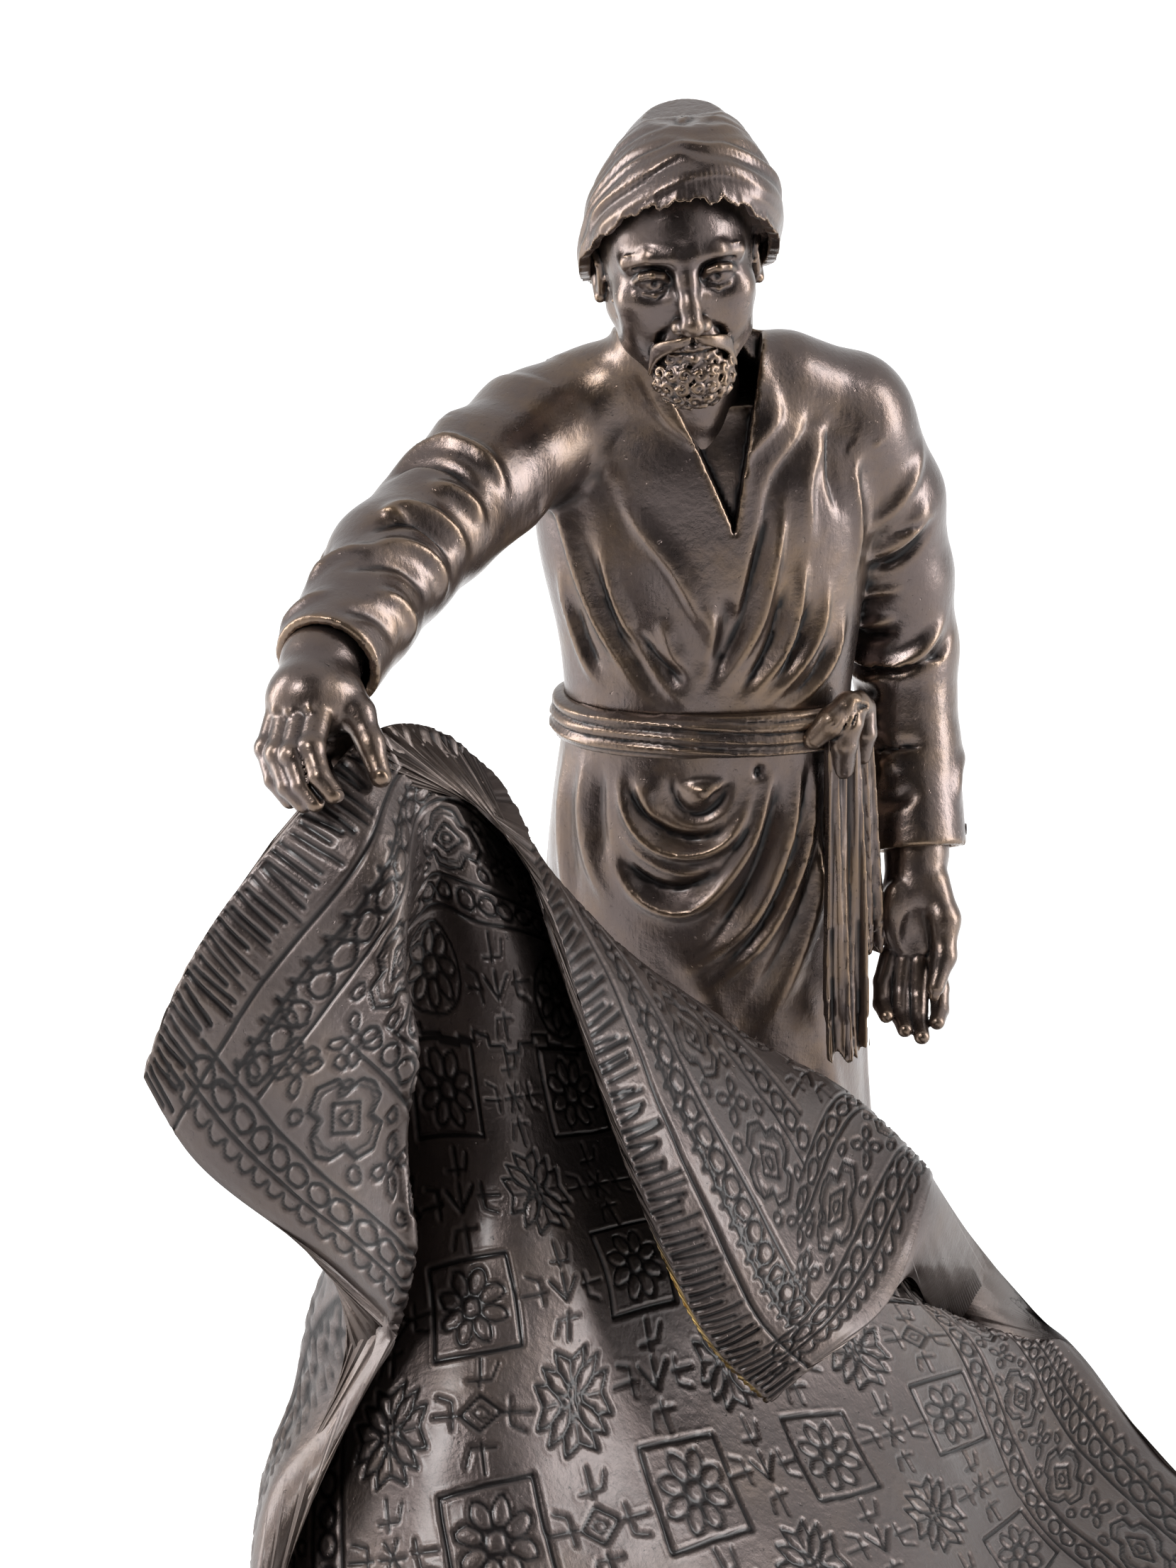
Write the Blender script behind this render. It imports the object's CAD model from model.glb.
import bpy
import math
import numpy as np
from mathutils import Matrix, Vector


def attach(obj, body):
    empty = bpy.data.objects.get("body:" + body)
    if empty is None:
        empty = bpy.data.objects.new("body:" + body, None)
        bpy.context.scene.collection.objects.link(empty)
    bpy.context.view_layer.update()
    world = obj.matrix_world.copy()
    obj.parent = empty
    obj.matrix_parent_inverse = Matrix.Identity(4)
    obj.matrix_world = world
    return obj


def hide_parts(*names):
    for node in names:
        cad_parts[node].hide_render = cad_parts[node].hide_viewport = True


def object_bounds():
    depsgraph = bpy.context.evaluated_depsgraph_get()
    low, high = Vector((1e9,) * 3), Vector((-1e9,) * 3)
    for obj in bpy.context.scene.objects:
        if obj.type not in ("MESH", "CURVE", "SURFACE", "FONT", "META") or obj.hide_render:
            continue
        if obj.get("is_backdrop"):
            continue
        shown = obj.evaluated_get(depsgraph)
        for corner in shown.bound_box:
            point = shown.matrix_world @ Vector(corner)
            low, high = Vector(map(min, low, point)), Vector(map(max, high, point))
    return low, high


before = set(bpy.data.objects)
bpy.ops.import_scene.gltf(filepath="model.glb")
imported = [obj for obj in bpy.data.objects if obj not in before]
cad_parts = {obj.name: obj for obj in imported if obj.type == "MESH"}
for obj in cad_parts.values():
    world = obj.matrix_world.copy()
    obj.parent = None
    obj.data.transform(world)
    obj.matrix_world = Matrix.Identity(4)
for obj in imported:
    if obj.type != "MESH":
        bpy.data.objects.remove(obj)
CAD_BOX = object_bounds()

# Everything below is worked out in millimetres and turned into metres when a mesh is made.
MM = 0.001
CARPET_STEP = 0.5
VOXEL = 0.65
FINE_VOXEL = 0.36
rng = np.random.default_rng(7)


# ---------------------------------------------------------------- curves and meshes
def spline(knots, values, at):
    """Natural cubic spline through values (any trailing shape) at the knots."""
    knots = np.asarray(knots, float)
    values = np.asarray(values, float)
    count = len(knots)
    gap = np.diff(knots)
    system = np.zeros((count, count))
    system[0, 0] = system[-1, -1] = 1.0
    right = np.zeros_like(values)
    slope = (values[1:] - values[:-1]) / gap.reshape((-1,) + (1,) * (values.ndim - 1))
    for i in range(1, count - 1):
        system[i, i - 1:i + 2] = gap[i - 1], 2 * (gap[i - 1] + gap[i]), gap[i]
        right[i] = 6 * (slope[i] - slope[i - 1])
    curve = np.linalg.solve(system, right.reshape(count, -1)).reshape(values.shape)
    at = np.asarray(at, float)
    k = np.clip(np.searchsorted(knots, at, side="right") - 1, 0, count - 2)
    shape = at.shape + (1,) * (values.ndim - 1)
    width = gap[k].reshape(shape)
    b = ((at - knots[k]).reshape(shape)) / width
    a = 1 - b
    return (a * values[k] + b * values[k + 1]
            + ((a ** 3 - a) * curve[k] + (b ** 3 - b) * curve[k + 1]) * width ** 2 / 6)


def make_mesh(name, points, blocks, material, attributes):
    """A smooth-shaded object from points in millimetres and blocks of like-sided faces."""
    mesh = bpy.data.meshes.new(name)
    blocks = [np.asarray(block, np.int32) for block in blocks]
    totals = np.concatenate([np.full(len(block), block.shape[1], np.int32) for block in blocks])
    starts = np.cumsum(totals) - totals
    mesh.vertices.add(len(points))
    mesh.vertices.foreach_set("co", (points * MM).astype(np.float32).ravel())
    mesh.loops.add(int(totals.sum()))
    mesh.loops.foreach_set("vertex_index", np.concatenate([block.ravel() for block in blocks]))
    mesh.polygons.add(len(totals))
    mesh.polygons.foreach_set("loop_start", starts.astype(np.int32))
    mesh.polygons.foreach_set("loop_total", totals)
    mesh.polygons.foreach_set("use_smooth", np.ones(len(totals), bool))
    mesh.update(calc_edges=True)
    mesh.validate()
    for key, values in attributes.items():
        layer = mesh.attributes.new(key, "FLOAT", "POINT")
        layer.data.foreach_set("value", np.asarray(values, np.float32))
    mesh.materials.append(material)
    item = bpy.data.objects.new(name, mesh)
    bpy.context.collection.objects.link(item)
    return item


def hash_noise(points, cell, seed):
    """Smooth value noise in -1..1 at points (n, 3), one lump per cell millimetres."""
    lattice = np.asarray(points, float) / cell + seed * 17.31
    base = np.floor(lattice).astype(np.int64)
    part = lattice - base
    part = part * part * (3 - 2 * part)
    total = np.zeros(len(lattice))
    for corner in range(8):
        offset = np.array([(corner >> 2) & 1, (corner >> 1) & 1, corner & 1])
        key = base + offset
        mixed = (key[:, 0] * 73856093) ^ (key[:, 1] * 19349663) ^ (key[:, 2] * 83492791) ^ (seed * 2654435)
        mixed = (mixed ^ (mixed >> 13)) * 1274126177
        value = ((mixed ^ (mixed >> 16)) & 0xFFFF) / 32767.5 - 1
        weight = np.prod(np.where(offset == 1, part, 1 - part), axis=1)
        total += value * weight
    return total


# ---------------------------------------------------------------- relief maps
class Relief:
    """A height map, in millimetres, over a rectangle measured in millimetres."""

    def __init__(self, low, high, step):
        self.low = np.array(low, float)
        self.step = step
        self.size = np.round((np.array(high, float) - self.low) / step).astype(int) + 1
        self.height = np.zeros(self.size, np.float32)

    def patch(self, points, reach):
        lo = np.floor((points.min(0) - reach - self.low) / self.step).astype(int)
        hi = np.ceil((points.max(0) + reach - self.low) / self.step).astype(int) + 1
        lo = np.clip(lo, 0, self.size)
        hi = np.clip(hi, 0, self.size)
        a = self.low[0] + np.arange(lo[0], hi[0]) * self.step
        b = self.low[1] + np.arange(lo[1], hi[1]) * self.step
        return (slice(lo[0], hi[0]), slice(lo[1], hi[1])), a[:, None], b[None, :]

    def distance(self, points, reach):
        """Patch, unsigned distance, side and position along the line, 0 to 1."""
        area, a, b = self.patch(points, reach)
        near = np.full((a.shape[0], b.shape[1]), 1e9)
        side = np.zeros_like(near)
        along = np.zeros_like(near)
        lengths = np.linalg.norm(np.diff(points, axis=0), axis=1)
        total = max(lengths.sum(), 1e-6)
        start = 0.0
        for p, q, length in zip(points[:-1], points[1:], lengths):
            if length < 1e-9:
                continue
            d = (q - p) / length
            x, y = a - p[0], b - p[1]
            t = np.clip(x * d[0] + y * d[1], 0, length)
            gap = np.hypot(x - t * d[0], y - t * d[1])
            closer = gap < near
            near = np.where(closer, gap, near)
            side = np.where(closer, np.sign(x * d[1] - y * d[0]), side)
            along = np.where(closer, (start + t) / total, along)
            start += length
        return area, near, side, along

    def fold(self, points, width, height, far=None, taper=0.35):
        """A soft ridge (or valley) along a line, with its own width on each side."""
        points = np.asarray(points, float)
        if len(points) > 2:
            knots = np.arange(len(points))
            points = spline(knots, points, np.linspace(0, len(points) - 1, 6 * len(points)))
        far = width if far is None else far
        area, near, side, along = self.distance(points, 3 * max(width, far))
        spread = np.where(side >= 0, width, far)
        ends = np.clip(np.minimum(along, 1 - along) / max(taper, 1e-3), 0, 1)
        ends = ends * ends * (3 - 2 * ends)
        self.height[area] += (height * ends * np.exp(-(near / spread) ** 2)).astype(np.float32)

    def chase(self, points, width=0.42, depth=0.55, closed=False):
        """A chiselled line with a small burr beside it; crossing lines don't add up."""
        points = np.asarray(points, float)
        if closed:
            points = np.vstack([points, points[:1]])
        area, near, _, _ = self.distance(points, 2.2)
        cut = -depth * np.exp(-(near / width) ** 2)
        burr = 0.22 * depth * np.exp(-((near - 2.1 * width) / (0.8 * width)) ** 2)
        here = self.height[area]
        beside = np.where(here > -0.02, np.maximum(here, burr), here)
        self.height[area] = np.where(cut < -0.04, np.minimum(here, cut), beside).astype(np.float32)

    def read(self, a, b):
        """Bilinear look-up at arrays of coordinates; outside it holds the edge value."""
        x = np.clip((a - self.low[0]) / self.step, 0, self.size[0] - 1.001)
        y = np.clip((b - self.low[1]) / self.step, 0, self.size[1] - 1.001)
        i, j = x.astype(int), y.astype(int)
        x, y = x - i, y - j
        field = self.height
        return ((field[i, j] * (1 - x) + field[i + 1, j] * x) * (1 - y)
                + (field[i, j + 1] * (1 - x) + field[i + 1, j + 1] * x) * y)


# ---------------------------------------------------------------- carpet pattern
CARPET_WIDTH, CARPET_LENGTH, CARPET_GAUGE = 236.0, 275.0, 3.0
# Where the field between the borders starts, in from the sides and from the ends.
SIDE_BORDER, END_BORDER = 38.5, 46.0
SQUARE_HALF = 8.9
FIELD_COLUMNS = 8
pattern = Relief((0, 0), (CARPET_WIDTH, CARPET_LENGTH), 0.25)


def wobble(points, amount):
    """Hand-cut lines are never quite straight."""
    points = np.asarray(points, float)
    return points + rng.normal(0, amount, points.shape)


def placed(points, centre, turn=0.0, size=1.0):
    points = np.asarray(points, float) * size
    c, s = math.cos(turn), math.sin(turn)
    return points @ np.array([[c, s], [-s, c]]) + np.asarray(centre, float)


def ring(radius_a, radius_b, count=14, start=0.0, end=2 * math.pi):
    t = np.linspace(start, end, count)
    return np.stack([radius_a * np.cos(t), radius_b * np.sin(t)], axis=1)


def chase_shape(points, centre, turn=0.0, size=1.0, depth=0.55, width=0.42, closed=False):
    pattern.chase(wobble(placed(points, centre, turn, size), 0.13), width, depth, closed)


def flower(centre, radius, petals, turn=0.0):
    chase_shape(ring(radius * 0.27, radius * 0.27, 9), centre, depth=0.45)
    for number in range(petals):
        angle = turn + number * 2 * math.pi / petals
        middle = placed([(radius * 0.66, 0)], centre, angle)[0]
        chase_shape(ring(radius * 0.36, radius * 0.23, 11), middle, angle, depth=0.5)


def diamond(centre, a, b, turn=0.0, depth=0.55):
    chase_shape([(a, 0), (0, b), (-a, 0), (0, -b)], centre, turn, depth=depth, closed=True)


def square_cell(centre, turn):
    """An outlined square that holds an eight-petal flower round a small square."""
    r = SQUARE_HALF
    outline = [(-r, -r), (0, -r), (r, -r), (r, 0), (r, r), (0, r), (-r, r), (-r, 0)]
    chase_shape(outline, centre, turn, closed=True, depth=0.7)
    flower(centre, 7.4, 8, turn + 0.4)
    chase_shape([(-1.9, -1.9), (1.9, -1.9), (1.9, 1.9), (-1.9, 1.9)], centre, turn, closed=True)


def star_cell(centre, turn):
    """Four crossing rhombs with a pointed outline round them."""
    for number in range(4):
        angle = turn + number * math.pi / 2
        middle = placed([(4.9, 0)], centre, angle + math.pi / 4)[0]
        diamond(middle, 4.4, 1.9, angle + math.pi / 4)
        tip = [(2.2, 0), (5.2, 3.1), (8.6, 3.6), (6.9, 0), (8.6, -3.6), (5.2, -3.1), (2.2, 0)]
        chase_shape(tip, centre, angle, depth=0.6)
        chase_shape([(3.6, 0), (6.2, 0)], centre, angle, depth=0.45)


def link_cell(centre, turn, kind):
    """Small marks between the squares: a diamond, a little star or an arrow."""
    if kind == 0:
        diamond(centre, 3.9, 3.0, turn)
        diamond(centre, 1.6, 1.2, turn, 0.4)
    elif kind == 1:
        for number in range(3):
            angle = turn + number * math.pi / 3
            chase_shape([(-3, 0), (3, 0)], centre, angle, depth=0.5)
    else:
        chase_shape([(-3.4, -2), (0, 2.2), (3.4, -2)], centre, turn)
        chase_shape([(0, 2.2), (0, -3)], centre, turn)
    for number in range(4):
        angle = turn + number * math.pi / 2
        chase_shape([(4.6, 0), (9.8, 0)], centre, angle, depth=0.5)
        chase_shape([(5.6, -2.4), (5.6, 2.4), (8.6, 3.4)], centre, angle, depth=0.45)


def medallion(centre, turn):
    """A curving double outline with a diamond and an oval in it."""
    half = [(-9.5, 0), (-7.5, 3.2), (-4.6, 3.0), (-3.2, 5.6), (0, 6.5), (3.2, 5.6), (4.6, 3.0), (7.5, 3.2)]
    outline = half + [(-x, -y) for x, y in half]
    chase_shape(outline, centre, turn, closed=True, depth=0.6)
    chase_shape(outline, centre, turn, 0.82, closed=True, depth=0.4)
    diamond(centre, 4.4, 2.9, turn)
    chase_shape(ring(1.5, 1.0, 10), centre, turn, depth=0.5)


def band_point(side, along, inward):
    """A point of the border: how far along a side and how far in from its edge."""
    if side == "left":
        return (inward, along), math.pi / 2
    if side == "right":
        return (CARPET_WIDTH - inward, along), math.pi / 2
    if side == "far":
        return (along, inward), 0.0
    return (along, CARPET_LENGTH - inward), 0.0


def border_line(side, inward, reach, depth=0.6):
    start, end = reach
    stops = np.arange(start, end + 3, 7.0)
    line = [band_point(side, stop, inward)[0] for stop in np.clip(stops, start, end)]
    pattern.chase(wobble(line, 0.12), 0.42, depth)


def chain(side, inward, reach, pitch, radii):
    start, end = reach
    for along in np.arange(start + pitch / 2, end - pitch / 3, pitch):
        centre, turn = band_point(side, along + rng.normal(0, 0.2), inward)
        chase_shape(ring(radii[0], radii[1], 12), centre, turn, depth=0.6)


def scallops(side, inward, reach, pitch):
    start, end = reach
    outward = {"left": math.pi / 2, "right": -math.pi / 2, "far": 0.0, "near": math.pi}[side]
    for along in np.arange(start + pitch / 2, end, pitch):
        centre = band_point(side, along, inward)[0]
        arc = ring(pitch * 0.45, pitch * 0.55, 8, math.pi, 2 * math.pi)
        chase_shape(arc, centre, outward + math.pi, depth=0.5)


def border(side, length, fringe):
    """Scallops, a chain between two lines, the wide band and a second chain."""
    edge = 12.0 if fringe else 4.5
    span = (edge, length - edge)
    if fringe:
        for along in np.arange(0.8, length, 1.9):
            lean = rng.normal(0, 0.5)
            a = band_point(side, along + rng.normal(0, 0.25), 0.2 + rng.uniform(0, 1.0))[0]
            b = band_point(side, along + lean, 6.0 + rng.uniform(0, 4.2))[0]
            pattern.chase([a, b], 0.46, rng.uniform(0.45, 0.8))
        border_line(side, edge - 0.6, (0, length), 0.6)
    scallops(side, edge + 2.6, span, 4.2)
    reach = (edge + 3.6, length - edge - 3.6)
    border_line(side, edge + 3.8, reach)
    chain(side, edge + 6.9, reach, 5.6, (2.5, 1.9))
    border_line(side, edge + 10.0, reach)
    inner = (edge + 11, length - edge - 11)
    for number, along in enumerate(np.arange(inner[0] + 9, inner[1] - 5, 15.5)):
        centre, turn = band_point(side, along, edge + 18.2)
        if number % 2:
            medallion(centre, turn)
        else:
            flower(centre, 4.6, 4, turn + math.pi / 4)
            for sign, inward in ((-1, 23.4), (-1, 13.2), (1, 23.4), (1, 13.2)):
                spot = band_point(side, along + sign * 6.4, edge + inward)[0]
                chase_shape(ring(1.5, 1.1, 9), spot, turn, depth=0.5)
    low = (edge + 26, length - edge - 26)
    border_line(side, edge + 26.2, low)
    chain(side, edge + 29.4, low, 5.8, (2.4, 1.8))
    border_line(side, edge + 32.6, (low[0] + 6.5, low[1] - 6.5))


def field_cell(centre, turn, i, j):
    """Column i, row j of the field: squares and stars with small marks between them."""
    if j == 0 and i % 2:
        flower(centre, 7.0, 8, turn)
        chase_shape(ring(8.2, 8.2, 22), centre, depth=0.5)
    elif j == 0:
        link_cell(centre, turn, 2)
    elif (i + j) % 2:
        link_cell(centre, turn, (i + 2 * j) % 3)
    elif j % 2:
        square_cell(centre, turn)
    else:
        star_cell(centre, turn)


def draw_pattern():
    border("left", CARPET_LENGTH, False)
    border("right", CARPET_LENGTH, False)
    border("far", CARPET_WIDTH, True)
    border("near", CARPET_WIDTH, True)
    low_u, high_u = SIDE_BORDER, CARPET_WIDTH - SIDE_BORDER
    low_v, high_v = END_BORDER, CARPET_LENGTH - END_BORDER
    pitch_u = (high_u - low_u) / FIELD_COLUMNS
    rows = round((high_v - low_v) / pitch_u)
    pitch_v = (high_v - low_v) / rows
    for i in range(FIELD_COLUMNS):
        for j in range(rows):
            centre = (low_u + (i + 0.5) * pitch_u + rng.normal(0, 0.3),
                      low_v + (j + 0.5) * pitch_v + rng.normal(0, 0.3))
            field_cell(centre, rng.normal(0, 0.06), i, j)
    step = pitch_u / 4
    zigzag = []
    for number, u in enumerate(np.arange(low_u, high_u, step)):
        phase = number % 4
        v = low_v + pitch_v - 1.5 + 1.6 * (phase if phase <= 2 else 4 - phase)
        zigzag += [(u, v), (u + step, v)]
    pattern.chase(wobble(zigzag, 0.1), 0.42, 0.55)


draw_pattern()

# ---------------------------------------------------------------- carpet sheet
# Stations of the draped sheet, the same as the CAD model's.
CARPET_STATIONS = np.array([
    [(-106, -118, 132), (-98, -121, 153), (-88, -122, 170), (-76, -119, 184), (-65, -108, 195),
     (-52, -92, 190), (-40, -90, 178), (-33, -102, 163), (-26, -112, 143), (-19, -120, 123),
     (-11, -126, 103), (-2, -129, 84), (10, -130, 71)],
    [(-95, -120, 114), (-82, -127, 136), (-69, -131, 155), (-59, -126, 171), (-57, -107, 179),
     (-49, -98, 179), (-40, -85, 164), (-31, -80, 155), (-17, -88, 140), (-6, -102, 123),
     (5, -112, 105), (14, -118, 89), (23, -121, 78)],
    [(-76, -126, 101), (-67, -134, 122), (-56, -140, 145), (-61, -114, 150), (-54, -100, 157),
     (-45, -103, 155), (-36, -100, 151), (-28, -84, 141), (-14, -67, 131), (2, -68, 120),
     (15, -76, 109), (25, -86, 97), (35, -104, 82)],
    [(-61, -138, 92), (-57, -141, 111), (-65, -116, 122), (-61, -104, 130), (-50, -107, 133),
     (-42, -110, 132), (-34, -106, 131), (-24, -94, 125), (-12, -75, 120), (4, -63, 112),
     (21, -59, 105), (34, -64, 97), (43, -76, 91)],
    [(-63, -142, 84), (-73, -114, 86), (-68, -106, 94), (-58, -110, 104), (-47, -116, 110),
     (-38, -118, 111), (-29, -112, 109), (-18, -100, 105), (-4, -83, 100), (10, -71, 97),
     (26, -62, 89), (36, -55, 75), (43, -54, 63)],
    [(-75, -146, 69), (-78, -124, 70), (-68, -128, 78), (-56, -132, 86), (-44, -134, 90),
     (-32, -130, 91), (-21, -120, 90), (-9, -106, 87), (5, -92, 82), (19, -78, 75),
     (33, -64, 65), (46, -45, 49), (55, -27, 33)],
    [(-83, -153, 56), (-83, -138, 54), (-69, -146, 61), (-56, -152, 67), (-42, -152, 70),
     (-30, -146, 69), (-17, -134, 67), (-3, -118, 63), (11, -103, 58), (27, -86, 52),
     (43, -63, 45), (59, -34, 34), (70, -12, 28)],
    [(-86, -180, 28), (-79, -174, 28), (-66, -180, 31), (-50, -184, 33), (-34, -182, 34),
     (-18, -174, 34), (-1, -163, 34), (14, -148, 34), (29, -130, 32), (43, -107, 27),
     (56, -80, 20), (69, -50, 16), (81, -14, 21)],
    [(-84, -212, 11), (-72, -210, 10), (-57, -212, 12), (-41, -212, 13), (-25, -206, 12),
     (-8, -197, 12), (9, -184, 12), (24, -168, 12), (40, -148, 11), (55, -124, 9),
     (70, -96, 8), (82, -66, 8), (95, -34, 9)],
    [(-74, -244, 5), (-60, -240, 5), (-44, -238, 6), (-28, -234, 6), (-11, -226, 5),
     (6, -217, 5), (23, -204, 6), (39, -190, 6), (55, -171, 5), (71, -148, 4),
     (86, -122, 4), (98, -94, 4), (111, -64, 4)],
    [(-63, -270, 2), (-48, -265, 2), (-32, -260, 2), (-16, -254, 2), (0, -246, 2),
     (17, -237, 2), (34, -226, 2), (50, -213, 2), (67, -197, 2), (84, -177, 2),
     (100, -153, 2), (113, -127, 2), (126, -98, 2)],
], float)


def sheet_surface(across, along):
    """Points of the middle surface on a grid of station numbers."""
    rows, columns = CARPET_STATIONS.shape[:2]
    crossed = spline(np.arange(columns), CARPET_STATIONS.transpose(1, 0, 2), across)
    return spline(np.arange(rows), crossed.transpose(1, 0, 2), along)


def arc_stations(axis, total):
    """Mean distance along the sheet at each fine station, scaled to the flat size."""
    count = CARPET_STATIONS.shape[1 - axis] - 1
    fine = np.linspace(0, count, 241)
    other = np.linspace(0, CARPET_STATIONS.shape[axis] - 1, 41)
    grid = sheet_surface(fine, other) if axis == 0 else sheet_surface(other, fine).transpose(1, 0, 2)
    steps = np.linalg.norm(np.diff(grid, axis=1), axis=2).mean(0)
    walked = np.concatenate([[0], np.cumsum(steps)])
    return fine, walked * total / walked[-1]


FINE_U, ARC_U = arc_stations(0, CARPET_WIDTH)
FINE_V, ARC_V = arc_stations(1, CARPET_LENGTH)


def carpet_grid(u_mm, v_mm):
    """Position and unit normal of the middle surface at flat coordinates."""
    across = np.interp(u_mm, ARC_U, FINE_U)
    along = np.interp(v_mm, ARC_V, FINE_V)
    points = sheet_surface(across, along)
    normal = np.cross(np.gradient(points, axis=1), np.gradient(points, axis=0))
    normal /= np.linalg.norm(normal, axis=2, keepdims=True) + 1e-9
    return points, normal


def samples(total, fine, coarse_from=None, coarse=None, fine_from=0.0):
    """Sample positions, fine between two marks and coarse outside them."""
    marks = [np.arange(fine_from, (coarse_from or total), fine)]
    if fine_from > 0:
        marks.insert(0, np.arange(0, fine_from - coarse / 2, coarse))
    if coarse_from:
        marks.append(np.arange(coarse_from, total - coarse / 2, coarse))
    return np.append(np.concatenate(marks), total)


def zipper(first, second):
    """Triangles between two rows of vertices of unlike length."""
    faces = []
    i = j = 0
    a, b = len(first) - 1, len(second) - 1
    while i < a or j < b:
        if j >= b or (i < a and (i + 1) * b <= (j + 1) * a):
            faces.append((first[i], first[i + 1], second[j]))
            i += 1
        else:
            faces.append((first[i], second[j + 1], second[j]))
            j += 1
    return faces


def carpet_side(u_mm, v_mm, sign):
    """One face of the carpet, its chasing cut into the metal."""
    points, normal = carpet_grid(u_mm, v_mm)
    flat_u, flat_v = np.meshgrid(u_mm, v_mm)
    mirrored = flat_u if sign < 0 else CARPET_WIDTH - flat_u
    depth = pattern.read(mirrored, flat_v)
    worn = 0.25 * hash_noise(points.reshape(-1, 3), 9.0, 3).reshape(depth.shape)
    rim = np.minimum.reduce([flat_u, CARPET_WIDTH - flat_u, flat_v, CARPET_LENGTH - flat_v])
    thin = 1.0 - 0.45 * np.exp(-(rim / 1.6) ** 2)
    rise = CARPET_GAUGE / 2 * thin + depth + worn
    return points + sign * normal * rise[..., None], depth


# Stretch of the far rim, in mm from its left corner, where the patina is rubbed off.
RUBBED_FROM, RUBBED_TO = 178, 236
# The back is sampled finely only in the corner that is turned up: beyond BACK_FINE_U across and
# within BACK_FINE_V of the far end.
BACK_STEP, BACK_FINE_U, BACK_FINE_V = 1.6, 84.0, 78.0
RIM_RELIEF = 0.3


def rubbed_share(stops):
    return np.clip((stops - RUBBED_FROM) / 12, 0, 1) * np.clip((RUBBED_TO - stops) / 4, 0, 1)


def grid_numbers(grid, first):
    """Vertex numbers of a grid of points, counted on from first."""
    rows, columns = grid.shape[:2]
    return first + np.arange(rows * columns).reshape(rows, columns)


def grid_quads(numbers):
    quads = np.stack([numbers[:-1, :-1], numbers[1:, :-1], numbers[1:, 1:], numbers[:-1, 1:]], axis=-1)
    return quads.reshape(-1, 4)


def carpet_object(material):
    """Front and back faces joined by a rounded rim with small fringe ends."""
    front_u = samples(CARPET_WIDTH, CARPET_STEP)
    front_v = samples(CARPET_LENGTH, CARPET_STEP)
    back_u = samples(CARPET_WIDTH, CARPET_STEP, coarse=BACK_STEP, fine_from=BACK_FINE_U)
    back_v = samples(CARPET_LENGTH, CARPET_STEP, coarse_from=BACK_FINE_V, coarse=BACK_STEP)
    front, front_depth = carpet_side(front_u, front_v, -1)
    back, back_depth = carpet_side(back_u, back_v, 1)
    top = grid_numbers(front, 0)
    under = grid_numbers(back, top.size)
    points = [front.reshape(-1, 3), back.reshape(-1, 3)]
    depths = [front_depth.ravel(), back_depth.ravel()]
    on_front = rubbed_share(np.broadcast_to(front_u, top.shape)) * (front_v < 0.8)[:, None]
    rubbed = [on_front.ravel(), np.zeros(under.size)]
    # for each side: its vertices on both faces, the distance along it and the way in from it
    edges = {"far": (top[0], under[0], front_u, front[1] - front[0]),
             "near": (top[-1], under[-1], front_u, front[-2] - front[-1]),
             "left": (top[:, 0], under[:, 0], front_v, front[:, 1] - front[:, 0]),
             "right": (top[:, -1], under[:, -1], front_v, front[:, -2] - front[:, -1])}
    flat = np.concatenate(points)
    count = len(flat)
    rim_faces = []
    for side, (upper, lower, stops, inward) in edges.items():
        inward = inward / (np.linalg.norm(inward, axis=1, keepdims=True) + 1e-9)
        share = np.linspace(0, len(lower) - 1, len(upper))
        low = flat[lower][np.round(share).astype(int)]
        tuft = 0.5 + (0.45 * np.abs(np.sin(stops * math.pi / 2.6)) if side in ("far", "near")
                      else 0.12 * np.sin(stops * 0.9))
        points.append((flat[upper] + low) / 2 - inward * tuft[:, None])
        depths.append(np.full(len(upper), RIM_RELIEF))
        rubbed.append(rubbed_share(stops) if side == "far" else np.zeros(len(upper)))
        rim = count + np.arange(len(upper))
        count += len(upper)
        strip = zipper(upper, rim) + zipper(rim, lower)
        rim_faces += [face[::-1] for face in strip] if side in ("near", "left") else strip
    quads = np.concatenate([grid_quads(top), grid_quads(under)[:, ::-1]])
    return make_mesh("chased_carpet", np.concatenate(points), [quads, rim_faces], material,
                     {"relief": np.concatenate(depths), "rubbed": np.concatenate(rubbed)})


# ---------------------------------------------------------------- materials
BRASS = (0.62, 0.42, 0.15)


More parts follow.
